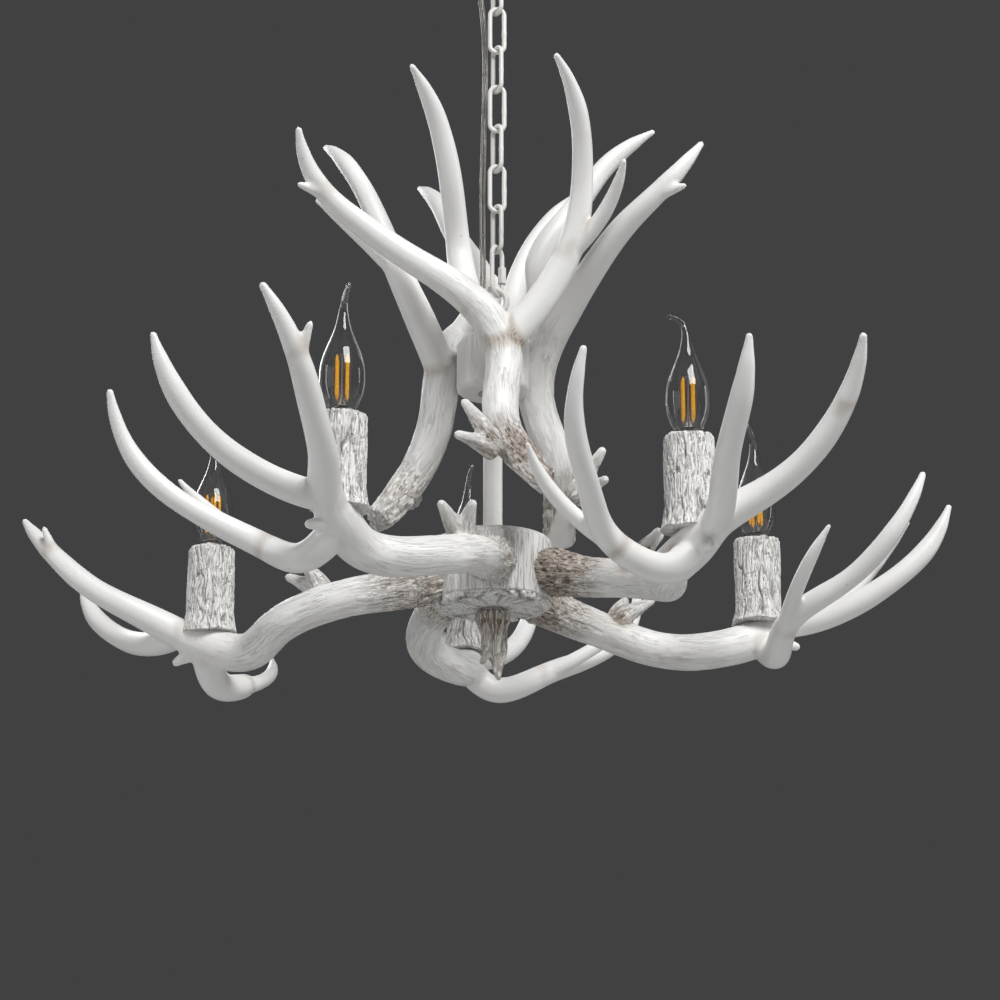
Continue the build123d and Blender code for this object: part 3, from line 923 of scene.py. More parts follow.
@dataclass(frozen=True)
class Stand:
    """Where a casting sits: its turn round the rod and its small seating errors, in degrees and mm."""

    turn: float
    out: float = 0.0
    lift: float = 0.0
    roll: float = 0.0
    pitch: float = 0.0

    def apply(self, points: Array) -> Array:
        """Points of the casting, in metres from the hub's middle, set on their stand."""
        r, p, t = (math.radians(a) for a in (-self.roll, -self.pitch, self.turn))
        about_y = np.array([[math.cos(r), 0, math.sin(r)], [0, 1, 0], [-math.sin(r), 0, math.cos(r)]])
        about_x = np.array([[1, 0, 0], [0, math.cos(p), -math.sin(p)], [0, math.sin(p), math.cos(p)]])
        about_z = np.array([[math.cos(t), -math.sin(t), 0], [math.sin(t), math.cos(t), 0], [0, 0, 1]])
        moved = points @ (about_x @ about_y).T + np.array([0, -self.out, self.lift]) * MM
        return moved @ about_z.T


@dataclass(frozen=True)
class Antler:
    """One antler of the fixture: a casting on its stand, coped to the hub it is screwed to."""

    node: str
    casting: Casting
    stand: Stand
    hub_radius: float
    wash: float
    bite: float = 0.6

    def build(self, finish: Material) -> None:
        """Sets the casting in place.

        Points nearer to the rod than the hub's skin, less the bite, move out to it, which copes the end.
        """
        points = self.stand.apply(self.casting.points)
        radius = np.linalg.norm(points[:, :2], axis=1)
        wall = (self.hub_radius - self.bite) * MM
        inside = radius < wall
        points[inside, :2] *= (wall / radius[inside])[:, None]
        piece = new_object(self.node + "_cast", points + HUB, self.casting.quads.tolist(), finish)
        cloud = value_noise(points / 0.03, len(self.node) + round(self.stand.turn))
        # The film browns the rough root and burr by the antler's wash. On the second lower antler, whose wash
        # is highest, part of it is painted shade.
        film = 0.62 * self.wash * smooth_step(self.casting.bark + 0.35 * cloud, 0.45, 1.0)
        wash = np.clip(self.casting.hollow * (0.15 + 0.90 * self.wash + 0.3 * cloud) + film, 0, 1)
        give(piece, "lie", self.casting.lie)
        give(piece, "wash", wash)
        give(piece, "bark", self.casting.bark)
        ready(piece, "fixture", self.node)


@dataclass(frozen=True)
class AntlerSet:
    """All eight antlers: five of the lower casting round the hub, three of the upper.

    Each stand comes with its antler's wash, from 0 for clean paint to 1 for a brown root. The second lower
    antler's wash of 1.0 is partly its root's brown stain and partly painted shade, which darkens that root
    where shade falls on it.
    """

    hub: float = 49.0
    reach: float = 194.0
    drop: float = 30.0
    upper_hub: float = 31.0
    upper_z: float = 157.0
    saddle: float = 46.3
    voxel: float = 0.0014
    quick_voxel: float = 0.004
    lower_stands: tuple[tuple[Stand, float], ...] = (
        (Stand(-27.0, 1.5, 3.2, -3.4, 1.9), 0.50),
        # Wash 1.0 on this antler: partly brown stain, partly painted shade on its root, which lies in shade.
        (Stand(38.2, -0.6, 1.8, -1.2, 0.2), 1.0),
        (Stand(109.6, -3.2, -4.0, -3.5, 0.1), 0.55),
        (Stand(185.5, -0.9, 6.1, 0, 0.9), 0.5),
        (Stand(257.7, 1.4, -6.6, 8.7, -3.1), 0.55),
    )
    upper_stands: tuple[tuple[Stand, float], ...] = (
        (Stand(1.1, 0, 1.7), 0.9), (Stand(120.4, 0, -0.8), 0.15), (Stand(238.9, 0, -2.1), 0.15),
    )

    def lower_tines(self) -> tuple[Tine, ...]:
        """Tines of the lower casting."""
        h = self.hub
        fork = (h + self.reach + 2, 2, -self.drop)
        fork_2 = (h + 218, 3, -18)
        return (
            Tine(((h - 14, 20, -2, 19), (h + 5, 27, -7, 20), (h + 22, 33, -12, 17), (h + 69, 46, -22, 15.5),
                  (h + 121, 40, -37, 15.5), (h + 161, 6, -42, 15.5), (*fork, 16.5), (*fork_2, 13),
                  (h + 253, 18, 0, 11), (h + 291, 30, 23, 9.5), (h + 326, 33, 57, 8.5),
                  (h + 358, 20, 97, 3.5)), Texture.BEAM),
            Tine(((h - 4, 24, -5, 23), (h + 7, 27, -7.5, 22.5), (h + 13, 29.5, -9.2, 17)), Texture.ROOT),
            Tine(((*fork, 13), (h + 195, -27, -54, 12), (h + 186, -69, -41, 10.5), (h + 214, -116, -18, 8.5),
                  (h + 244, -156, 18, 7.5), (h + 269, -168, 67, 3.5))),
            Tine(((h + 186, -69, -41, 8), (h + 179, -102, -24, 6.5), (h + 180, -131, -4, 5),
                  (h + 188, -154, 19, 2.8))),
            Tine(((*fork_2, 11), (h + 252, -22, -13, 10.5), (h + 291, -52, 8, 9.5), (h + 324, -69, 39, 8.5),
                  (h + 343, -79, 77, 3.5))),
            Tine(((h + 322, 33, 52, 7), (h + 329, 46, 76, 3))),
            Tine(((h + 80, 41, -14, 9.5), (h + 98, 40, -2, 7), (h + 116, 39, 8, 4.8)), Texture.PRONG),
            Tine(((h + 81, 43, -12, 9.5), (h + 90, 51, 3, 6.8), (h + 97, 59, 13, 4.6)), Texture.PRONG),
            Tine(((*fork, 10), (h + 228, -8, -40, 4))),
        )

    def upper_tines(self) -> tuple[Tine, ...]:
        """Tines of the upper casting."""
        s, z = self.saddle, self.upper_z
        return (
            Tine(((s + 41, 40, z - 108, 12.5), (s + 33, 23, z - 83, 14.5), (s + 25, 9, z - 58, 14.5),
                  (s + 7, 6, z - 16, 15), (s, 6, z + 27, 16.5), (s + 5, -21, z + 65, 14),
                  (s + 8, -66, z + 96, 11.5), (s + 15, -111, z + 126, 10), (s + 34, -147, z + 155, 8.5),
                  (s + 61, -162, z + 193, 3.5)), Texture.BEAM),
            Tine(((s + 42, 41, z - 110, 12.5), (s + 38, 32, z - 99, 15), (s + 33, 23, z - 86, 14.5)),
                 Texture.ROOT),
            Tine(((s, 6, z + 27, 14), (s + 2, 41, z + 67, 13), (s + 13, 66, z + 115, 11),
                  (s + 32, 73, z + 167, 9), (s + 61, 68, z + 211, 8), (s + 98, 48, z + 243, 3.5))),
            Tine(((s + 10, 61, z + 101, 8), (s + 35, 94, z + 136, 6), (s + 65, 106, z + 165, 2.8))),
            Tine(((s + 5, -21, z + 65, 12), (s - 19, -29, z + 115, 11), (s + 10, -36, z + 164, 10),
                  (s + 41, -49, z + 212, 8.5), (s + 76, -70, z + 243, 3.5))),
            Tine(((s + 31, -143, z + 148, 7), (s + 43, -163, z + 150, 3))),
            Tine(((s + 34, 3, z - 76, 10), (s + 42, -12, z - 56, 7.2), (s + 48, -26, z - 38, 4.8)),
                 Texture.PRONG),
            Tine(((s + 34, 3, z - 80, 10), (s + 42, -15, z - 72, 7.2), (s + 47, -33, z - 67, 4.8)),
                 Texture.PRONG),
        )

    def build(self) -> None:
        """Casts both moulds and sets the eight antlers."""
        finish = CastResin().build()
        size = self.voxel
        saw_at = (20, -(self.saddle + 38), self.upper_z - 99)
        lower = Casting("lower", self.lower_tines(), size, 3)
        upper = Casting("upper", self.upper_tines(), size, 31, saw_at, (-0.65, 0.22, -0.73))
        lower.build()
        upper.build()
        for k, (stand, wash) in enumerate(self.lower_stands):
            Antler(f"antler_low_{k + 1}", lower, stand, self.hub, wash).build(finish)
        for k, (stand, wash) in enumerate(self.upper_stands):
            Antler(f"antler_top_{k + 1}", upper, stand, self.upper_hub, wash).build(finish)


# ---- supply cable ----
@dataclass(frozen=True)
class SupplyCable:
    """Clear two-core cable from the ceiling cup to the upper hub, hanging beside the chain.

    It is cut into one length per joint of the chain; the cuts lie half-way between hinges, where both sides
    of a cut lie along the same link.
    """

    radius: float = 2.5
    core_radius: float = 0.75
    core_offset: float = 1.15
    rings: int = 40
    route: tuple[Point, ...] = (
        (-17, 8, 575.2), (-11.5, 8, 538.5), (-6.6, 8.2, 483.5), (-7.2, 6.6, 428.5), (-8.6, 5.2, 377.2),
        (-9.2, 6.2, 329.5), (-8.6, 9.4, 285.5), (-9, 16, 245.2), (-9, 16, 208.5),
    )
    cuts: tuple[float, ...] = (575.2, 529.6, 492.2, 454.6, 417.0, 379.4, 341.9, 304.2, 265.6, 208.5)
    bodies: tuple[str, ...] = ("ceiling", *(f"link_{k}" for k in range(7, 0, -1)), "quick_link", "fixture")

    def line(self) -> Array:
        """Points of the smooth NURBS line whose control points are the route's."""
        curve = bpy.data.curves.new("cable_route", "CURVE")
        curve.dimensions = "3D"
        curve.resolution_u = 24
        spline = curve.splines.new("NURBS")
        spline.points.add(len(self.route) - 1)
        spline.points.foreach_set("co", np.hstack([place(self.route), np.ones((len(self.route), 1))]).ravel())
        spline.order_u = 3
        spline.use_endpoint_u = True
        return vertices_of(final_mesh(add_object("cable_route", curve)))

    @staticmethod
    def at_heights(line: Array, values: Array, heights: Array) -> Array:
        """Values along the line at given heights; the line only ever falls."""
        return np.stack([np.interp(heights, line[::-1, 2], values[::-1, k]) for k in range(3)], axis=1)

    def wire(self, name: str, path: Array, radius: float, around: int, finish: Material) -> Object:
        """A round wire of the given radius along a path."""
        return skin(name, tube_rings(path, np.full(self.rings, radius * MM), around), finish)

    def build(self) -> None:
        """Makes each length's jacket and its two cores."""
        line = self.line()
        sides, _ = frames_along(line)
        clear = ClearGlass("clear_jacket", (0.93, 0.92, 0.89), 0.12, 1.40, 0.0001).build()
        tinned = PlatedSteel("tinned_core", (0.80, 0.78, 0.73), (0.60, 0.58, 0.54), 0.35).build()
        for k, (high, low) in enumerate(zip(self.cuts, self.cuts[1:])):
            heights = np.linspace(*(place((0, 0, z))[2] for z in (high, low)), self.rings)
            path = self.at_heights(line, line, heights)
            side = unit(self.at_heights(line, sides, heights))
            jacket = self.wire(f"cable_jacket_{k + 1}", path, self.radius, 24, clear)
            core = join(f"cable_cores_{k + 1}", [
                self.wire("core", path + side * way * MM, self.core_radius, 10, tinned)
                for way in (-self.core_offset, self.core_offset)
            ])
            for piece in (jacket, core):
                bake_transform(piece)
            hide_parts("cable")


# ---- candles ----
@dataclass(frozen=True)
class Candle:
    """One candle: a bark sleeve on an antler's fork, its lampholder and its bent-tip filament bulb.

    tip_turn and strip_turn are the turns of the glass's bent tip and of the filament strips, in degrees.
    """

    number: int
    foot: Point
    tip_turn: float
    strip_turn: float
    sleeve_h: float = 74.6
    sleeve_r: float = 19.0
    foot_r: float = 22.5
    bore_r: float = 15.4
    relief: float = 1.5
    floor: float = 16.0
    rim: float = 75.6
    holder_top: float = 72.6
    holder_h: float = 46.0
    holder_r: float = 13.0
    cap_bore: float = 7.35
    cap_h: float = 24.0
    thread_pitch: float = 2.8
    glass_wall: float = 0.45
    strip_at: float = 5.5
    strip_h: float = 34.0
    glass_rings: tuple[Point, ...] = (
        (0, 8.0, 0), (4.6, 11.0, 0), (11, 14.3, 0), (18, 16.5, 0), (30, 17.5, 0), (44, 15.5, 0),
        (51, 13.1, 0), (57, 10.7, 0), (64, 7.9, 0), (70.5, 5.8, 0), (77, 4.4, 0.1), (83.5, 3.3, 0.7),
        (89, 2.6, 2.4), (93, 2.2, 5.3), (96, 1.9, 9.2), (97.6, 1.7, 12.4),
    )
    glass_bead: tuple[Point, ...] = (
        (98.0, 2.2, 13.4), (98.4, 2.3, 14.3), (98.7, 1.8, 15.0), (98.8, 0.7, 15.4),
    )

    def sleeve(self, finish: Material) -> None:
        """Bark sleeve.

        Its outer radius is the profile's plus relief times cords and twigs, which are steps of |noise| of
        (cos a, sin a, height) with long cells, bent sideways by a slower noise. The rim and the foot are
        ragged by a noise of (cos a, sin a).
        """
        rows, around = 150, 220
        angle, height = np.meshgrid(circle(around), np.linspace(0, 1, rows), indexing="xy")
        seed = 50 + 7 * self.number
        profile = np.interp(height, (0, 0.10, 0.24, 0.8, 0.975, 1),
                            (self.foot_r, 20.6, self.sleeve_r, self.sleeve_r, self.sleeve_r - 0.3, 17.8))
        flat = np.stack([np.cos(angle), np.sin(angle), height], axis=2)
        sway = noise_on(flat, (1.9, 1.9, 5.0), seed) * 0.16
        wavy = np.stack([np.cos(angle + sway), np.sin(angle + sway), height], axis=2)
        cords = smooth_step(np.abs(noise_on(wavy, (6.6, 6.6, 2.4), seed + 1)), 0.0, 0.20)
        twigs = smooth_step(np.abs(noise_on(wavy, (11.0, 11.0, 4.6), seed + 2)), 0.0, 0.26)
        crumbs = noise_on(wavy, (17, 17, 26), seed + 3)
        swell = noise_on(flat, (1.2, 1.2, 2.6), seed + 6)
        rough = cords + twigs * 0.6 + crumbs * 0.14 - 1.0
        radius = profile + self.relief * rough + 0.5 * swell - 0.1
        rim_rag = smooth_step(height, 0.93, 1.0) * (noise_on(flat, (3.2, 3.2, 0), seed + 4) - 0.4)
        at_foot = 1 - smooth_step(height, 0.0, 0.08)
        foot_rag = at_foot * (noise_on(flat, (2.0, 2.0, 0), seed + 5) - 0.6) * 1.4
        lift = height * self.sleeve_h + rim_rag - foot_rag
        outer = np.stack([radius * np.cos(angle), radius * np.sin(angle), lift], axis=2)
        top, bore, floor = lift[-1].min() - 0.2, self.bore_r, self.floor
        inside = spun_rings(np.array([
            (bore + 0.5, top), (bore, top - 1.2), (bore, floor + 1), (bore - 1, floor), (5.2, floor),
            (5.2, 0.5),
        ]), around)
        rings = np.concatenate([outer, inside])
        piece = skin(f"sleeve_{self.number}_bark", place(rings + self.foot), finish, loop=True)
        hollow = 1 - smooth_step(rough, -0.75, 0.15)
        give(piece, "wash", np.concatenate([hollow.ravel(), np.full(len(inside) * around, 0.3)]))
        ready(piece, "fixture", f"sleeve_{self.number}")

    def holder(self, finish: Material) -> None:
        """Lampholder: a turned cup with a rolled rim, grip rings and a hollow nipple into the fork."""
        r, top, low, bore = self.holder_r, self.holder_top, self.holder_top - self.holder_h, self.cap_bore
        profile = [(bore, top - 0.6), (bore, top - 27.5), (2.4, top - 27.5), (2.4, 4.5), (4.9, 4.5),
                   (4.9, low), (r - 1.2, low), (r - 0.4, low + 0.8)]
        for k in range(5):
            z = low + 8 + 6 * k
            profile += [(r - 0.4, z), (r, z + 0.8), (r, z + 2.2), (r - 0.4, z + 3)]
        profile += [(r - 0.4, top - 4), (r, top - 3.4), (r, top - 0.8), (r - 0.7, top), (bore + 0.7, top)]
        rings = spun_rings(np.array(profile), 48)
        piece = skin(f"lampholder_{self.number}_cup", place(rings + self.foot), finish, loop=True)
        ready(piece, "fixture", f"lampholder_{self.number}")

    def cap(self, finish: Material) -> None:
        """Screw cap: radius 6.6 + 0.35 sin(2 pi z / pitch - a), fading out at both ends, and its contact."""
        low, around, rows = self.rim - self.cap_h, 48, 120
        angle, t = np.meshgrid(circle(around), np.linspace(0, 1, rows), indexing="xy")
        z = low + 1 + (self.cap_h - 2) * t
        fade = smooth_step(t, 0.0, 0.08) * (1 - smooth_step(t, 0.85, 0.93))
        r = 6.6 + 0.35 * fade * np.sin(2 * math.pi * z / self.thread_pitch - angle)
        thread = np.stack([r * np.cos(angle), r * np.sin(angle), z], axis=2)
        contact = np.array([(2.0, low - 2.4), (3.4, low - 2.0), (3.8, low - 0.6), (5.4, low)])
        closed = np.array([(6.2, self.rim), (3.0, self.rim + 0.2)])
        rings = np.concatenate([spun_rings(contact, around), thread, spun_rings(closed, around)])
        piece = skin(f"bulb_cap_{self.number}_thread", place(rings + self.foot), finish)
        ready(piece, f"bulb_{self.number}", f"bulb_cap_{self.number}")

    def glass(self, finish: Material) -> None:
        """Blown flame bulb.

        A tube along its bent axis, through spline rings (height, radius, shift), closed by a bead, and
        an inner wall.
        """
        smooth = spline_through(np.array(self.glass_rings, float), np.linspace(0, 1, 100))
        outer = np.vstack([smooth, self.glass_bead])
        inner = smooth[4:88].copy()
        inner[:, 1] = np.maximum(inner[:, 1] - self.glass_wall, 0.35)
        turn = math.radians(self.tip_turn)
        shells = []
        for shape in (outer, inner):
            z, radii, shift = shape.T
            path = np.stack([shift * math.cos(turn), shift * math.sin(turn), z + self.rim], axis=1)
            shells.append(tube_rings(place(path + self.foot), radii * MM, 56))
        walls = [skin("wall", shells[0], finish), skin("wall", shells[1][:, ::-1], finish)]
        piece = join(f"bulb_glass_{self.number}_blown", walls)
        ready(piece, f"bulb_{self.number}", f"bulb_glass_{self.number}")

    def filaments(self, gel: Material, wire: Material, glass: Material) -> None:
        """Four filament strips on a glass stem, with their lead wires and the wires that join their tops to
        the stem's head.
        """
        rim, low, at, high = self.rim, self.rim + 12.0, self.strip_at, self.strip_h
        stem = [(0.4, rim + 1.3), (5.6, rim + 1.3), (4.9, rim + 3.0), (3.4, rim + 6.0), (1.8, low - 1.6),
                (0.8, low + 1.0), (0.55, low + 8), (0.55, low + high), (0.9, low + 35), (0.2, low + 35.6)]
        pieces = [skin("stem", place(spun_rings(np.array(stem), 20) + self.foot), glass)]
        runs = (
            ((at, low), (at, low + high), 1.15, gel),
            ((1.3, low - 3.0), (at, low + 0.4), 0.20, wire),
            ((at, low + high - 0.2), (0.7, low + 35.2), 0.20, wire),
        )
        t = np.linspace(0, 1, 16)[:, None]
        blunt = np.sqrt(np.clip(1 - (2 * t[:, 0] - 1) ** 20, 0.05, 1))
        for k in range(4):
            a = math.pi / 2 * k + math.radians(self.strip_turn)
            for start, end, radius, finish in runs:
                r, z = (np.array(start) * (1 - t) + np.array(end) * t).T
                path = np.stack([r * math.cos(a), r * math.sin(a), z], axis=1) + self.foot
                pieces.append(skin("strip", tube_rings(place(path), radius * blunt * MM, 12), finish))
        piece = join(f"bulb_filament_{self.number}_strips", pieces)
        ready(piece, f"bulb_{self.number}", f"bulb_filament_{self.number}")


@dataclass(frozen=True)
class CandleRing:
    """The five candles: each one's foot, where its antler's fork is, and the turns of its tip and strips."""

    places: tuple[tuple[Point, float, float], ...] = (
        ((-113.0, -217.8, -8.7), -70, 45),
        ((149.5, -191.0, -17.3), 155, 45),
        ((226.6, 78.7, -23.5), 243, 20),
        ((-23.2, 241.4, -10.1), -75, 0),
        ((-237.8, 47.2, -39.4), 96, 20),
    )

    def build(self) -> None:
        """Makes all candles with shared finishes."""
        bark = Bark("sleeve_bark").build()
        plastic = MouldedPlastic("white_plastic").build()
        nickel = PlatedSteel("nickel_cap", (0.75, 0.72, 0.66), (0.55, 0.52, 0.47), 0.2).build()
        glass = ClearGlass("clear_glass").build()
        gel = Phosphor().build()
        wire = PlatedSteel("lead_wire").build()
        for k, (foot, tip_turn, strip_turn) in enumerate(self.places):
            candle = Candle(k + 1, foot, tip_turn, strip_turn)
            candle.sleeve(bark)
            candle.holder(plastic)
            candle.cap(nickel)
            candle.glass(glass)
            candle.filaments(gel, wire, glass)


# ---- hubs, rod and finial ----
@dataclass(frozen=True)
class Hubs:
    """Both grained hubs, the bottom cover, the rod between them and the finial under them."""

    radius: float = 49.0
    half: float = 30.0
    wall: float = 12.0
    cover: float = 6.0
    roof: float = 18.0
    rod: float = 8.0
    rod_bore: float = 5.0
    rod_past: float = 8.0
    top_radius: float = 31.0
    top_low: float = 157.0
    top_h: float = 49.0
    around: int = 240
    top_around: int = 160

    @staticmethod
    def grid(section: Array, around: int, tall: float) -> Array:
        """Noise places round a section's skin: (cos a, sin a, z / tall), as a (section, around, 3) array."""
        a, z = np.meshgrid(circle(around), section[:, 1], indexing="xy")
        return np.stack([np.cos(a), np.sin(a), z / tall], axis=2)

    @staticmethod
    def grained(name: str, section: Array, grain: Array, finish: Material) -> Object:
        """A turned shape whose outer skin carries grain.

        Args:
            name: the piece's name.
            section: closed (radius, height) pairs.
            grain: (section, around) radial offsets in millimetres.
            finish: material.

        Returns:
            The object, whose ring at height z has radius r + grain.
        """
        rings = spun_rings(section, grain.shape[1])
        out = rings[:, :, :2] / (np.linalg.norm(rings[:, :, :2], axis=2)[:, :, None] + 1e-9)
        rings[:, :, :2] += out * grain[:, :, None]
        return skin(name, place(rings), finish, loop=True)

    def low_hub(self) -> None:
        """Lower hub: a hollow cylinder with rounded shoulders and two noises of upright grain."""
        r, h, bore, inner = self.radius, self.half, self.rod + 0.1, self.radius - self.wall
        section = refine([
            (r - 0.3, -h + self.cover), (r, h - 7), (r - 0.7, h - 3.6), (r - 2.2, h - 1.2),
            (r - 4.6, h - 0.1), (r - 9, h), (bore, h), (bore, h - self.roof), (inner, h - self.roof),
            (inner, -h + self.cover),
        ], 2.5)
        lie = self.grid(section, self.around, 26)
        outside = smooth_step(section[:, 0], r - 10, r - 3)[:, None]
        lines = noise_on(lie, (15, 15, 1.0), 71) + 0.5 * noise_on(lie, (30, 30, 1.6), 72)
        grain = lines * 0.38 * outside - 0.40 * outside
        grain += noise_on(lie, (1.5, 1.5, 1.0), 73) * 0.35 * outside
        hub = self.grained("hub_low_grained", section, grain, UprightGrain("hub_grain").build())
        ready(hub, "fixture", "hub_low")

    def bottom_cover(self) -> None:
        """Bottom cover: a disc with noise spokes on its face and knobs round its rim."""
        r, h, bore = self.radius, self.half, self.rod + 0.1
        section = refine([
            (bore, -h), (r - 16, -h), (r - 5, -h + 0.4), (r - 1.6, -h + 1.4), (r - 0.2, -h + 3.4),
            (r - 0.6, -h + self.cover), (bore, -h + self.cover),
        ], 1.6)
        rings = spun_rings(section, self.around)
        lie = self.grid(section, self.around, 1.0)
        radius = np.broadcast_to(section[:, 0][:, None], rings.shape[:2])
        z = rings[:, :, 2]
        spokes = noise_on(np.stack([lie[:, :, 0], lie[:, :, 1], radius / 40], axis=2), (11, 11, 1), 81)
        knobs = noise_on(rings / 3.3, (1, 1, 1), 82) + 0.5 * noise_on(rings / 1.8, (1, 1, 1), 83)
        rim = smooth_step(radius, r - 12, r - 4) * smooth_step(-z, h - self.cover - 1.5, h - 3.5)
        face = smooth_step(-z, h - 1.5, h - 0.2) * smooth_step(radius, 14, 20)
        rings[:, :, 2] += face * (0.7 - 1.1 * spokes) * (1 - rim) + rim * (0.4 - 1.5 * knobs)
        rings[:, :, :2] *= (1 + rim * (knobs * 1.5 - 1.2) / np.maximum(radius, 1))[:, :, None]
        finish = Bark("cover_bark", amount=0.8, scale=300.0, lean=1.0).build()
        cover = skin("hub_cover_grooved", place(rings), finish, loop=True)
        wash = rim * smooth_step(-knobs, 0.0, 0.6) + 0.7 * face * smooth_step(-spokes, 0.1, 0.6)
        give(cover, "wash", np.clip(wash, 0, 1).ravel())
        ready(cover, "fixture", "hub_cover")

    def high_hub(self) -> None:
        """Upper hub: a smaller cylinder, hollow from below, with one slow wave on its skin."""
        t, low, high, bore = self.top_radius, self.top_low, self.top_low + self.top_h, self.rod + 0.1
        section = refine([
            (t - 6.5, low), (t - 3.2, low + 0.6), (t - 1.0, low + 2.6), (t - 0.2, low + 6),
            (t - 0.2, high - 8), (t - 1.0, high - 4), (t - 3.0, high - 1.4), (t - 6, high - 0.2),
            (bore, high), (bore, low + 6), (12.2, low + 6), (12.2, low),
        ], 2.5)
        outside = smooth_step(section[:, 0], t - 8, t - 2)[:, None]
        wave = noise_on(self.grid(section, self.top_around, 30), (3, 3, 1.0), 91) * 0.35 * outside
        soft = UprightGrain("upper_hub_paint", (0.76, 0.745, 0.72), (0.60, 0.57, 0.53), 160.0, 0.0003, 0.25)
        hub = self.grained("hub_top_turned", section, wave - 0.1, soft.build())
        ready(hub, "fixture", "hub_top")

    def centre_rod(self) -> None:
        """Tube through both hubs, chamfered at its ends."""
        r, bore, edge = self.rod, self.rod_bore, 0.6
        low, high = -self.half - 11, self.top_low + self.top_h + self.rod_past
        section = [(r, low + 1), (r, high - 0.8), (r - 0.8, high), (bore + edge, high), (bore, high - edge),
                   (bore, low + edge), (bore + edge, low), (r - 0.8, low)]
        paint = PaintedMetal("rod_paint", (0.76, 0.75, 0.73), (0.66, 0.64, 0.61), 500.0, 0.36).build()
        ready(turned("rod_tube", refine(section, 20), 48, (0, 0), paint), "fixture", "rod")

    def finial(self) -> None:
        """Grooved and stained finial: a stub of antler with three short tips, cast like the antlers."""
        f = -self.half
        stubs = (
            ((0, 0, f + 0.2, 14.8), (0, 0, f - 7, 15.2), (0, 0, f - 17, 13.6), (0, 0, f - 30, 11.8)),
            ((0, 2, f - 16, 10.5), (-1, 4, f - 34, 8.2), (0, 4, f - 49, 6), (1, 5, f - 60, 3.4)),
            ((1, -1, f - 18, 10), (4, -4, f - 35, 7), (7, -10, f - 48, 3.4)),
            ((-3, 0, f - 16, 9), (-7, -1, f - 31, 5.5), (-10, -2, f - 42, 3)),
        )
        cast = Casting("finial", tuple(Tine(stub, Texture.FINIAL) for stub in stubs), 0.0009, 61)
        cast.build()
        stained = CastResin("finial_resin", (0.80, 0.77, 0.73), (0.60, 0.53, 0.46), (0.30, 0.22, 0.16),
                            (0.10, 0.07, 0.047), 0.0011, 0.5)
        piece = new_object("finial_cast", cast.points + HUB, cast.quads.tolist(), stained.build())
        top = smooth_step(cast.points[:, 2] / MM, f - 40, f - 4)
        give(piece, "lie", cast.lie)
        give(piece, "bark", cast.bark)
        give(piece, "wash", np.clip(cast.hollow * (0.2 + 1.1 * top) + 0.22 * top, 0, 1))
        ready(piece, "fixture", "finial")

    def build(self) -> None:
        """Makes the hubs, cover, rod and finial."""
        self.low_hub()
        self.bottom_cover()
        self.high_hub()
        self.centre_rod()
        self.finial()


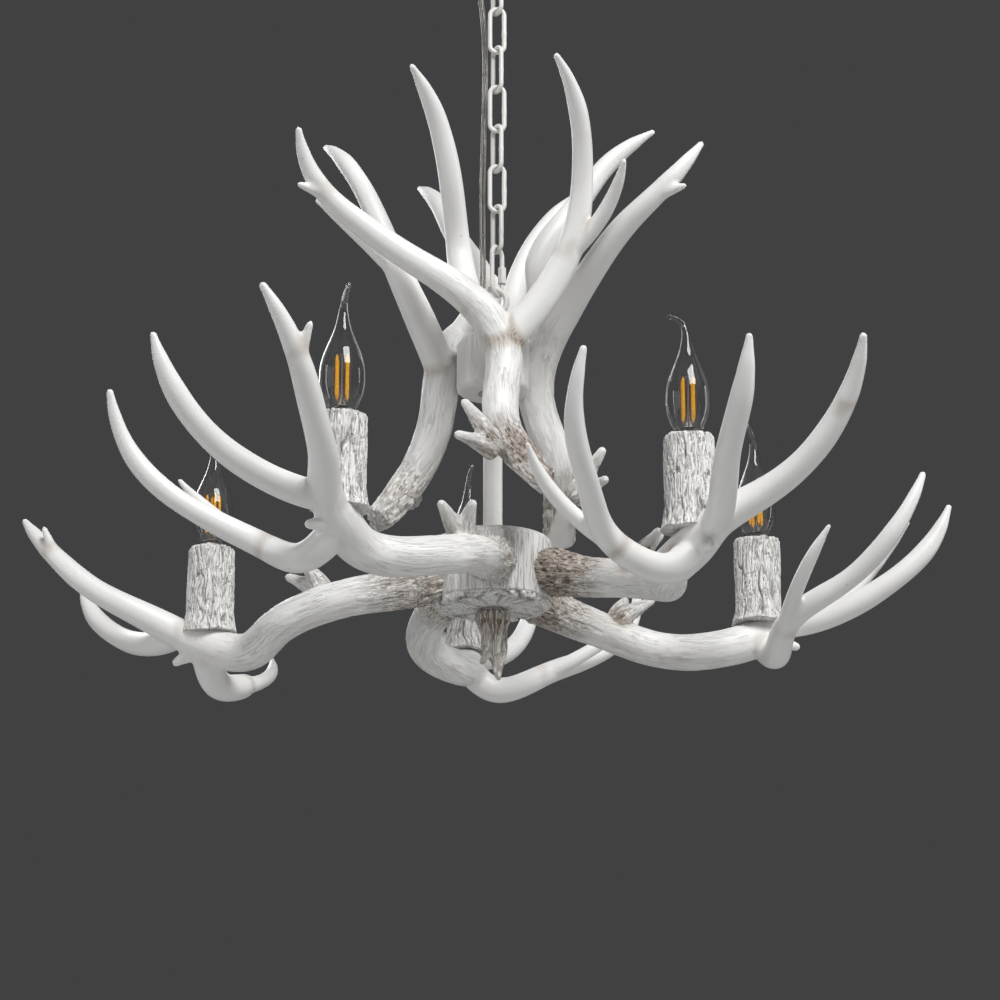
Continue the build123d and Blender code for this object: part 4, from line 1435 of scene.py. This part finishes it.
# ---- chain and ceiling cup ----
@dataclass(frozen=True)
class Chain:
    """Ring of the upper hub, quick link, seven links and the hook's ring, all of round wire."""

    wire: float = 2.0
    length: float = 46.0
    width: float = 16.5
    turns: Pair = (-55, 5)
    quick_length: float = 48.0
    quick_width: float = 20.0
    quick_turn: float = 58.0
    ring_wire: float = 2.5
    ring: float = 11.5
    hook_turn: float = 35.0
    offset: float = 3.5
    first_low: float = 285.45
    pitch: float = 37.6
    quick_low: float = 245.85
    hub_end: float = 206.0
    stem: float = 20.0
    hook_low: float = 548.15
    ceiling: float = 602.7
    cup_h: float = 25.0

    @staticmethod
    def oval(
        length: float, width: float, wire: float, low: float, turn: float, x: float, count: int = 96
    ) -> Array:
        """Middle line of a link: two straight sides joined by half circles, walked at an even pace.

        Args:
            length: outside length.
            width: outside width.
            wire: wire radius.
            low: height of the lower bend's wire middle.
            turn: turn about the upright, degrees.
            x: sideways place.
            count: points on the line.

        Returns:
            (count, 3) points in millimetres.
        """
        w = width / 2 - wire
        rise = length / 2 - wire - w
        bend = math.pi * w
        s = np.linspace(0, 4 * rise + 2 * bend, count, endpoint=False)
        up, over, down = s < 2 * rise, s < 2 * rise + bend, s < 4 * rise + bend
        a, b = (s - 2 * rise) / w, (s - 4 * rise - bend) / w
        sides, level = [up, over, down], np.full(count, w)
        px = np.select(sides, [level, w * np.cos(a), -level], -w * np.cos(b))
        pz = np.select(sides, [s - rise, rise + w * np.sin(a), 3 * rise + bend - s], -rise - w * np.sin(b))
        t = math.radians(turn)
        return np.stack([x + px * math.cos(t), px * math.sin(t), low + w + rise + pz], axis=1)

    @staticmethod
    def wire_rings(path: Array, radii: Array, around: int = 16) -> Array:
        """Rings of round wire along a closed flat line; the side is the line's plane normal."""
        tangent = unit(np.roll(path, -1, axis=0) - np.roll(path, 1, axis=0))
        normal = np.cross(path[len(path) // 4] - path[0], path[len(path) // 2] - path[0])
        normal = np.broadcast_to(normal / np.linalg.norm(normal), path.shape)
        return rings_round(path, normal, np.cross(tangent, normal), radii, around)

    def eye(self, low: float, turn: float, x: float, paint: Material) -> Object:
        """A round ring of the thicker wire, its lowest wire middle at height low."""
        across = 2 * (self.ring + self.ring_wire)
        path = self.oval(across, across, self.ring_wire, low, turn, x)
        rings = self.wire_rings(path, np.full(len(path), self.ring_wire))
        return skin("ring", place(rings), paint, loop=True)

    def links(self, paint: Material) -> None:
        """Seven links, each turned from the next, with a weld bead on one side."""
        for k in range(7):
            low = self.first_low + k * self.pitch
            path = self.oval(self.length, self.width, self.wire, low, self.turns[k % 2], self.offset)
            weld = 1 + 0.10 * np.exp(-(((np.arange(len(path)) - 12) / 2.2) ** 2))
            rings = self.wire_rings(path, self.wire * weld)
            piece = skin(f"link_{k + 1}_wire", place(rings), paint, loop=True)
            ready(piece, f"link_{k + 1}", f"link_{k + 1}")

    def quick(self, paint: Material) -> None:
        """Quick link and its long nut, whose six flats are rounded off at both ends."""
        path = self.oval(self.quick_length, self.quick_width, self.wire, self.quick_low, self.quick_turn,
                         self.offset, 144)
        middle = self.quick_low + self.quick_length / 2 - self.wire
        t = math.radians(self.quick_turn)
        arm = np.array([math.cos(t), math.sin(t)])
        across = (path[:, :2] - (self.offset, 0)) @ arm
        gap = (across > 0) & (np.abs(path[:, 2] - middle + 5) < 3.0)
        first = int(np.flatnonzero(gap).max()) + 1
        order = np.roll(np.arange(len(path)), -first)[: len(path) - int(gap.sum())]
        rings = self.wire_rings(path, np.full(len(path), self.wire))[order]
        ready(skin("quick_link_wire", place(rings), paint), "quick_link", "quick_link")

        low, high = middle - 9.5, middle + 5.5
        a = circle(60)
        hexagon = 3.38 / np.cos((a + math.pi / 6) % (math.pi / 3) - math.pi / 6)
        steps = ((2.1, low + 1.0), (2.1, low), (3.2, low), (3.6, low + 0.5), (3.9, low + 1.4),
                 (3.9, high - 1.4), (3.6, high - 0.5), (3.2, high), (2.1, high), (2.1, high - 1))
        rows = []
        for limit, z in steps:
            r = np.minimum(hexagon, limit)
            rows.append(np.stack([r * np.cos(a), r * np.sin(a), np.full(len(a), z)], axis=1))
        nut = np.stack(rows)
        spin = np.array([[math.cos(t), math.sin(t)], [-math.sin(t), math.cos(t)]])
        axis = np.array([self.offset, 0]) + arm * (self.quick_width / 2 - self.wire)
        nut[:, :, :2] = nut[:, :, :2] @ spin + axis
        ready(skin("quick_nut_hex", place(nut), paint, loop=True), "quick_nut", "quick_nut")

    def hub_loop(self, paint: Material) -> None:
        """Ring on the upper hub, with its collar and stem."""
        e = self.hub_end
        collar = [(8.1, e), (10.4, e), (11, e + 0.6), (11, e + 9.4), (10.6, e + 10.2), (7.4, e + 15.5),
                  (5.6, e + 19.5), (5.0, e + 22.4), (1, e + 22.6), (1, e + 9), (8.1, e + 8)]
        ring = self.eye(e + self.stem + self.ring_wire, 0, 0, paint)
        stem = turned("stem", refine(collar, 3), 40, (0, 0), paint)
        ready(join("loop_ring", [ring, stem]), "fixture", "loop")

    def hook(self, paint: Material) -> None:
        """Ceiling ring with its stem, threaded as r = 4.85 + 0.12 sin(2 pi z / 1.25 - a)."""
        ring = self.eye(self.hook_low, self.hook_turn, self.offset, paint)
        z = np.linspace(self.ceiling - self.cup_h - 5, self.ceiling - 0.3, 160)
        a = circle(32)
        r = 4.85 + 0.12 * np.sin(2 * math.pi * z[:, None] / 1.25 - a[None])
        rows = np.stack([self.offset + r * np.cos(a), r * np.sin(a), z[:, None] + 0 * r], axis=2)
        stem = skin("stem", place(rows), paint)
        ready(join("hook_ring", [ring, stem]), "ceiling", "hook")

    def build(self) -> None:
        """Makes the chain, its rings and the quick link's nut."""
        paint = PaintedMetal("chain_paint").build()
        self.links(paint)
        self.quick(paint)
        self.hub_loop(paint)
        self.hook(paint)


@dataclass(frozen=True)
class CeilingCup:
    """Pressed-steel ceiling cup, with its collar; the crossbar and nuts stay as the CAD shows them."""

    radius: float = 60.0
    height: float = 25.0
    sheet: float = 1.5
    offset: float = 3.5
    ceiling: float = 602.7
    hole: float = 5.1

    def build(self) -> None:
        """Makes the cup, its collar and the cable's glands, and dresses the small parts."""
        r, s, top, z, hole = self.radius, self.sheet, self.ceiling, self.ceiling - self.height, self.hole
        paint = PaintedMetal("cup_paint", (0.75, 0.74, 0.72), (0.68, 0.66, 0.63), 700.0, 0.38).build()
        cup = [
            (hole, z), (20, z), (r - 18, z + 0.4), (r - 10, z + 2.2), (r - 4, z + 6.2), (r - 1, z + 11),
            (r, z + 16), (r, top - 0.8), (r - 0.2, top),
            (r - s, top), (r - s, z + 16), (r - 1 - s, z + 11.6), (r - 4.8 - s, z + 7.4), (r - 11, z + 3.7),
            (r - 18.4, z + 2.0), (20, z + s), (hole, z + s),
        ]
        collar = [(hole, z - 3.8), (10.6, z - 3.8), (11.8, z - 2.6), (12, z - 1.0), (12, z), (hole, z)]
        axis = (self.offset, 0)
        ready(turned("canopy_cup", refine(cup, 3.0), 96, axis, paint), "ceiling", "canopy")
        ready(turned("hook_collar_turned", refine(collar, 2.0), 64, axis, paint), "ceiling",
              "hook_collar")
        self.gland("cable_grip", z - 2.5, z + 8, "ceiling")
        self.gland("cable_bushing", 208.5, 198, "fixture")
        steel = PlatedSteel("zinc_steel").build()
        for node in ("crossbar", "hook_nut", "rod_nuts", "screws_low", "studs_top"):
            self.dress(node, steel)
        block = MouldedPlastic("block_plastic", (0.72, 0.72, 0.70), (0.62, 0.62, 0.60))
        self.dress("terminal_block", block.build())

    @staticmethod
    def gland(node: str, low: float, high: float, body: str) -> None:
        """A tapered cable gland: flange against the sheet and a neck through it, bored for the cable."""
        box_low, box_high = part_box(node)
        axis = ((np.array(box_low) + np.array(box_high)) / 2 - HUB)[:2] / MM
        way = 1 if high > low else -1
        flange = low + way * 2.5
        section = [(2.55, low), (3.6, low), (5.0, low + way * 1.2), (5.5, low + way * 2.0), (5.5, flange),
                   (3.4, flange), (3.4, high - way * 0.4), (3.0, high), (2.55, high)]
        finish = MouldedPlastic(node + "_plastic").build()
        piece = turned(node + "_gland", refine(section, 1.5)[::way], 40, axis, finish)
        ready(piece, body, node)

    @staticmethod
    def dress(node: str, finish: Material) -> None:
        """Gives a CAD node its finish."""
        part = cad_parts[node]
        part.data.materials.clear()
        part.data.materials.append(finish)
        log.info("%s: CAD shape kept", node)


# ---- studio ----
@dataclass(frozen=True)
class Studio:
    """Camera at the photograph's place, pale floor and soft lights.

    The aim and the distance are millimetres from the hub's middle; floor and lights are metres in the row
    frame. Each light is its name, spot, size and power.
    """

    aim: Point = (6.0, 0.0, 64.0)
    distance: float = 2130.0
    rise: float = 16.5
    lens: float = 92.16
    floor: float = -2.10
    floor_half: float = 6.0
    sky: tuple[float, float, float, float] = (0.053, 0.053, 0.055, 1)
    lit_at: Point = (0.0, 0.0, -0.5)
    lights: tuple[tuple[str, Point, Pair, float], ...] = (
        ("key", (0.9, -1.9, 1.5), (1.4, 1.4), 92.0),
        ("fill", (-2.2, -1.6, -0.1), (1.4, 1.4), 6.0),
        ("back", (-1.3, 1.9, 0.8), (1.2, 1.2), 20.0),
        ("under", (0.2, -1.0, -1.2), (1.4, 1.4), 1.5),
        ("left_strip", (-2.1, -0.5, -0.4), (0.35, 1.8), 9.0),
        ("right_strip", (2.1, 0.1, -0.4), (0.35, 1.8), 9.0),
    )

    def camera(self) -> None:
        """Camera below the object, looking up at it by rise degrees."""
        data = bpy.data.cameras.new("camera")
        data.lens = self.lens
        data.sensor_width = 36.0
        data.clip_end = 30.0
        camera = add_object("camera", data)
        up = math.radians(self.rise)
        back = np.array([0, math.cos(up), math.sin(up)]) * self.distance
        camera.location = place(np.array(self.aim) - back)
        camera.rotation_euler = (math.pi / 2 + up, 0, 0)
        bpy.context.scene.camera = camera

    def lamp(self, name: str, spot: Point, size: Pair, power: float) -> None:
        """A rectangular lamp at spot, turned to what is lit, which neither the camera nor glass shows."""
        data = bpy.data.lights.new(name, "AREA")
        data.shape = "RECTANGLE"
        data.size, data.size_y = size
        data.energy = power
        lamp = add_object(name, data)
        lamp.location = spot
        x, y, z = np.array(self.lit_at) - spot
        lamp.rotation_euler = (math.atan2(math.hypot(x, y), -z), 0, math.atan2(y, x) - math.pi / 2)
        lamp.visible_camera = lamp.visible_transmission = False

    def build(self) -> None:
        """Floor, sky and lights."""
        g = Graph("pale_floor")
        grain = g.noise(g.place(), 3.0, 3.0)
        finish = g.surface(Base_Color=g.mix(grain, (0.62, 0.62, 0.61), (0.68, 0.68, 0.67)), Roughness=0.8)
        s = self.floor_half
        corners = np.array([(x, y, self.floor) for x, y in ((-s, -s), (s, -s), (s, s), (-s, s))])
        new_object("floor", corners, [[0, 1, 2, 3]], finish)
        scene = bpy.context.scene
        scene.world = bpy.data.worlds.new("studio")
        scene.world.use_nodes = True
        sky = scene.world.node_tree.nodes["Background"]
        sky.inputs[0].default_value = self.sky
        sky.inputs[1].default_value = 1.0
        scene.view_settings.view_transform = "Standard"
        for light in self.lights:
            self.lamp(*light)


def main() -> None:
    """Builds the chandelier piece by piece."""
    logging.basicConfig(level=logging.INFO, format="%(name)s: %(message)s")
    studio = Studio()
    studio.camera()
    SupplyCable().build()
    studio.build()
    AntlerSet().build()
    CandleRing().build()
    Hubs().build()
    Chain().build()
    CeilingCup().build()


if __name__ == "__main__":
    main()
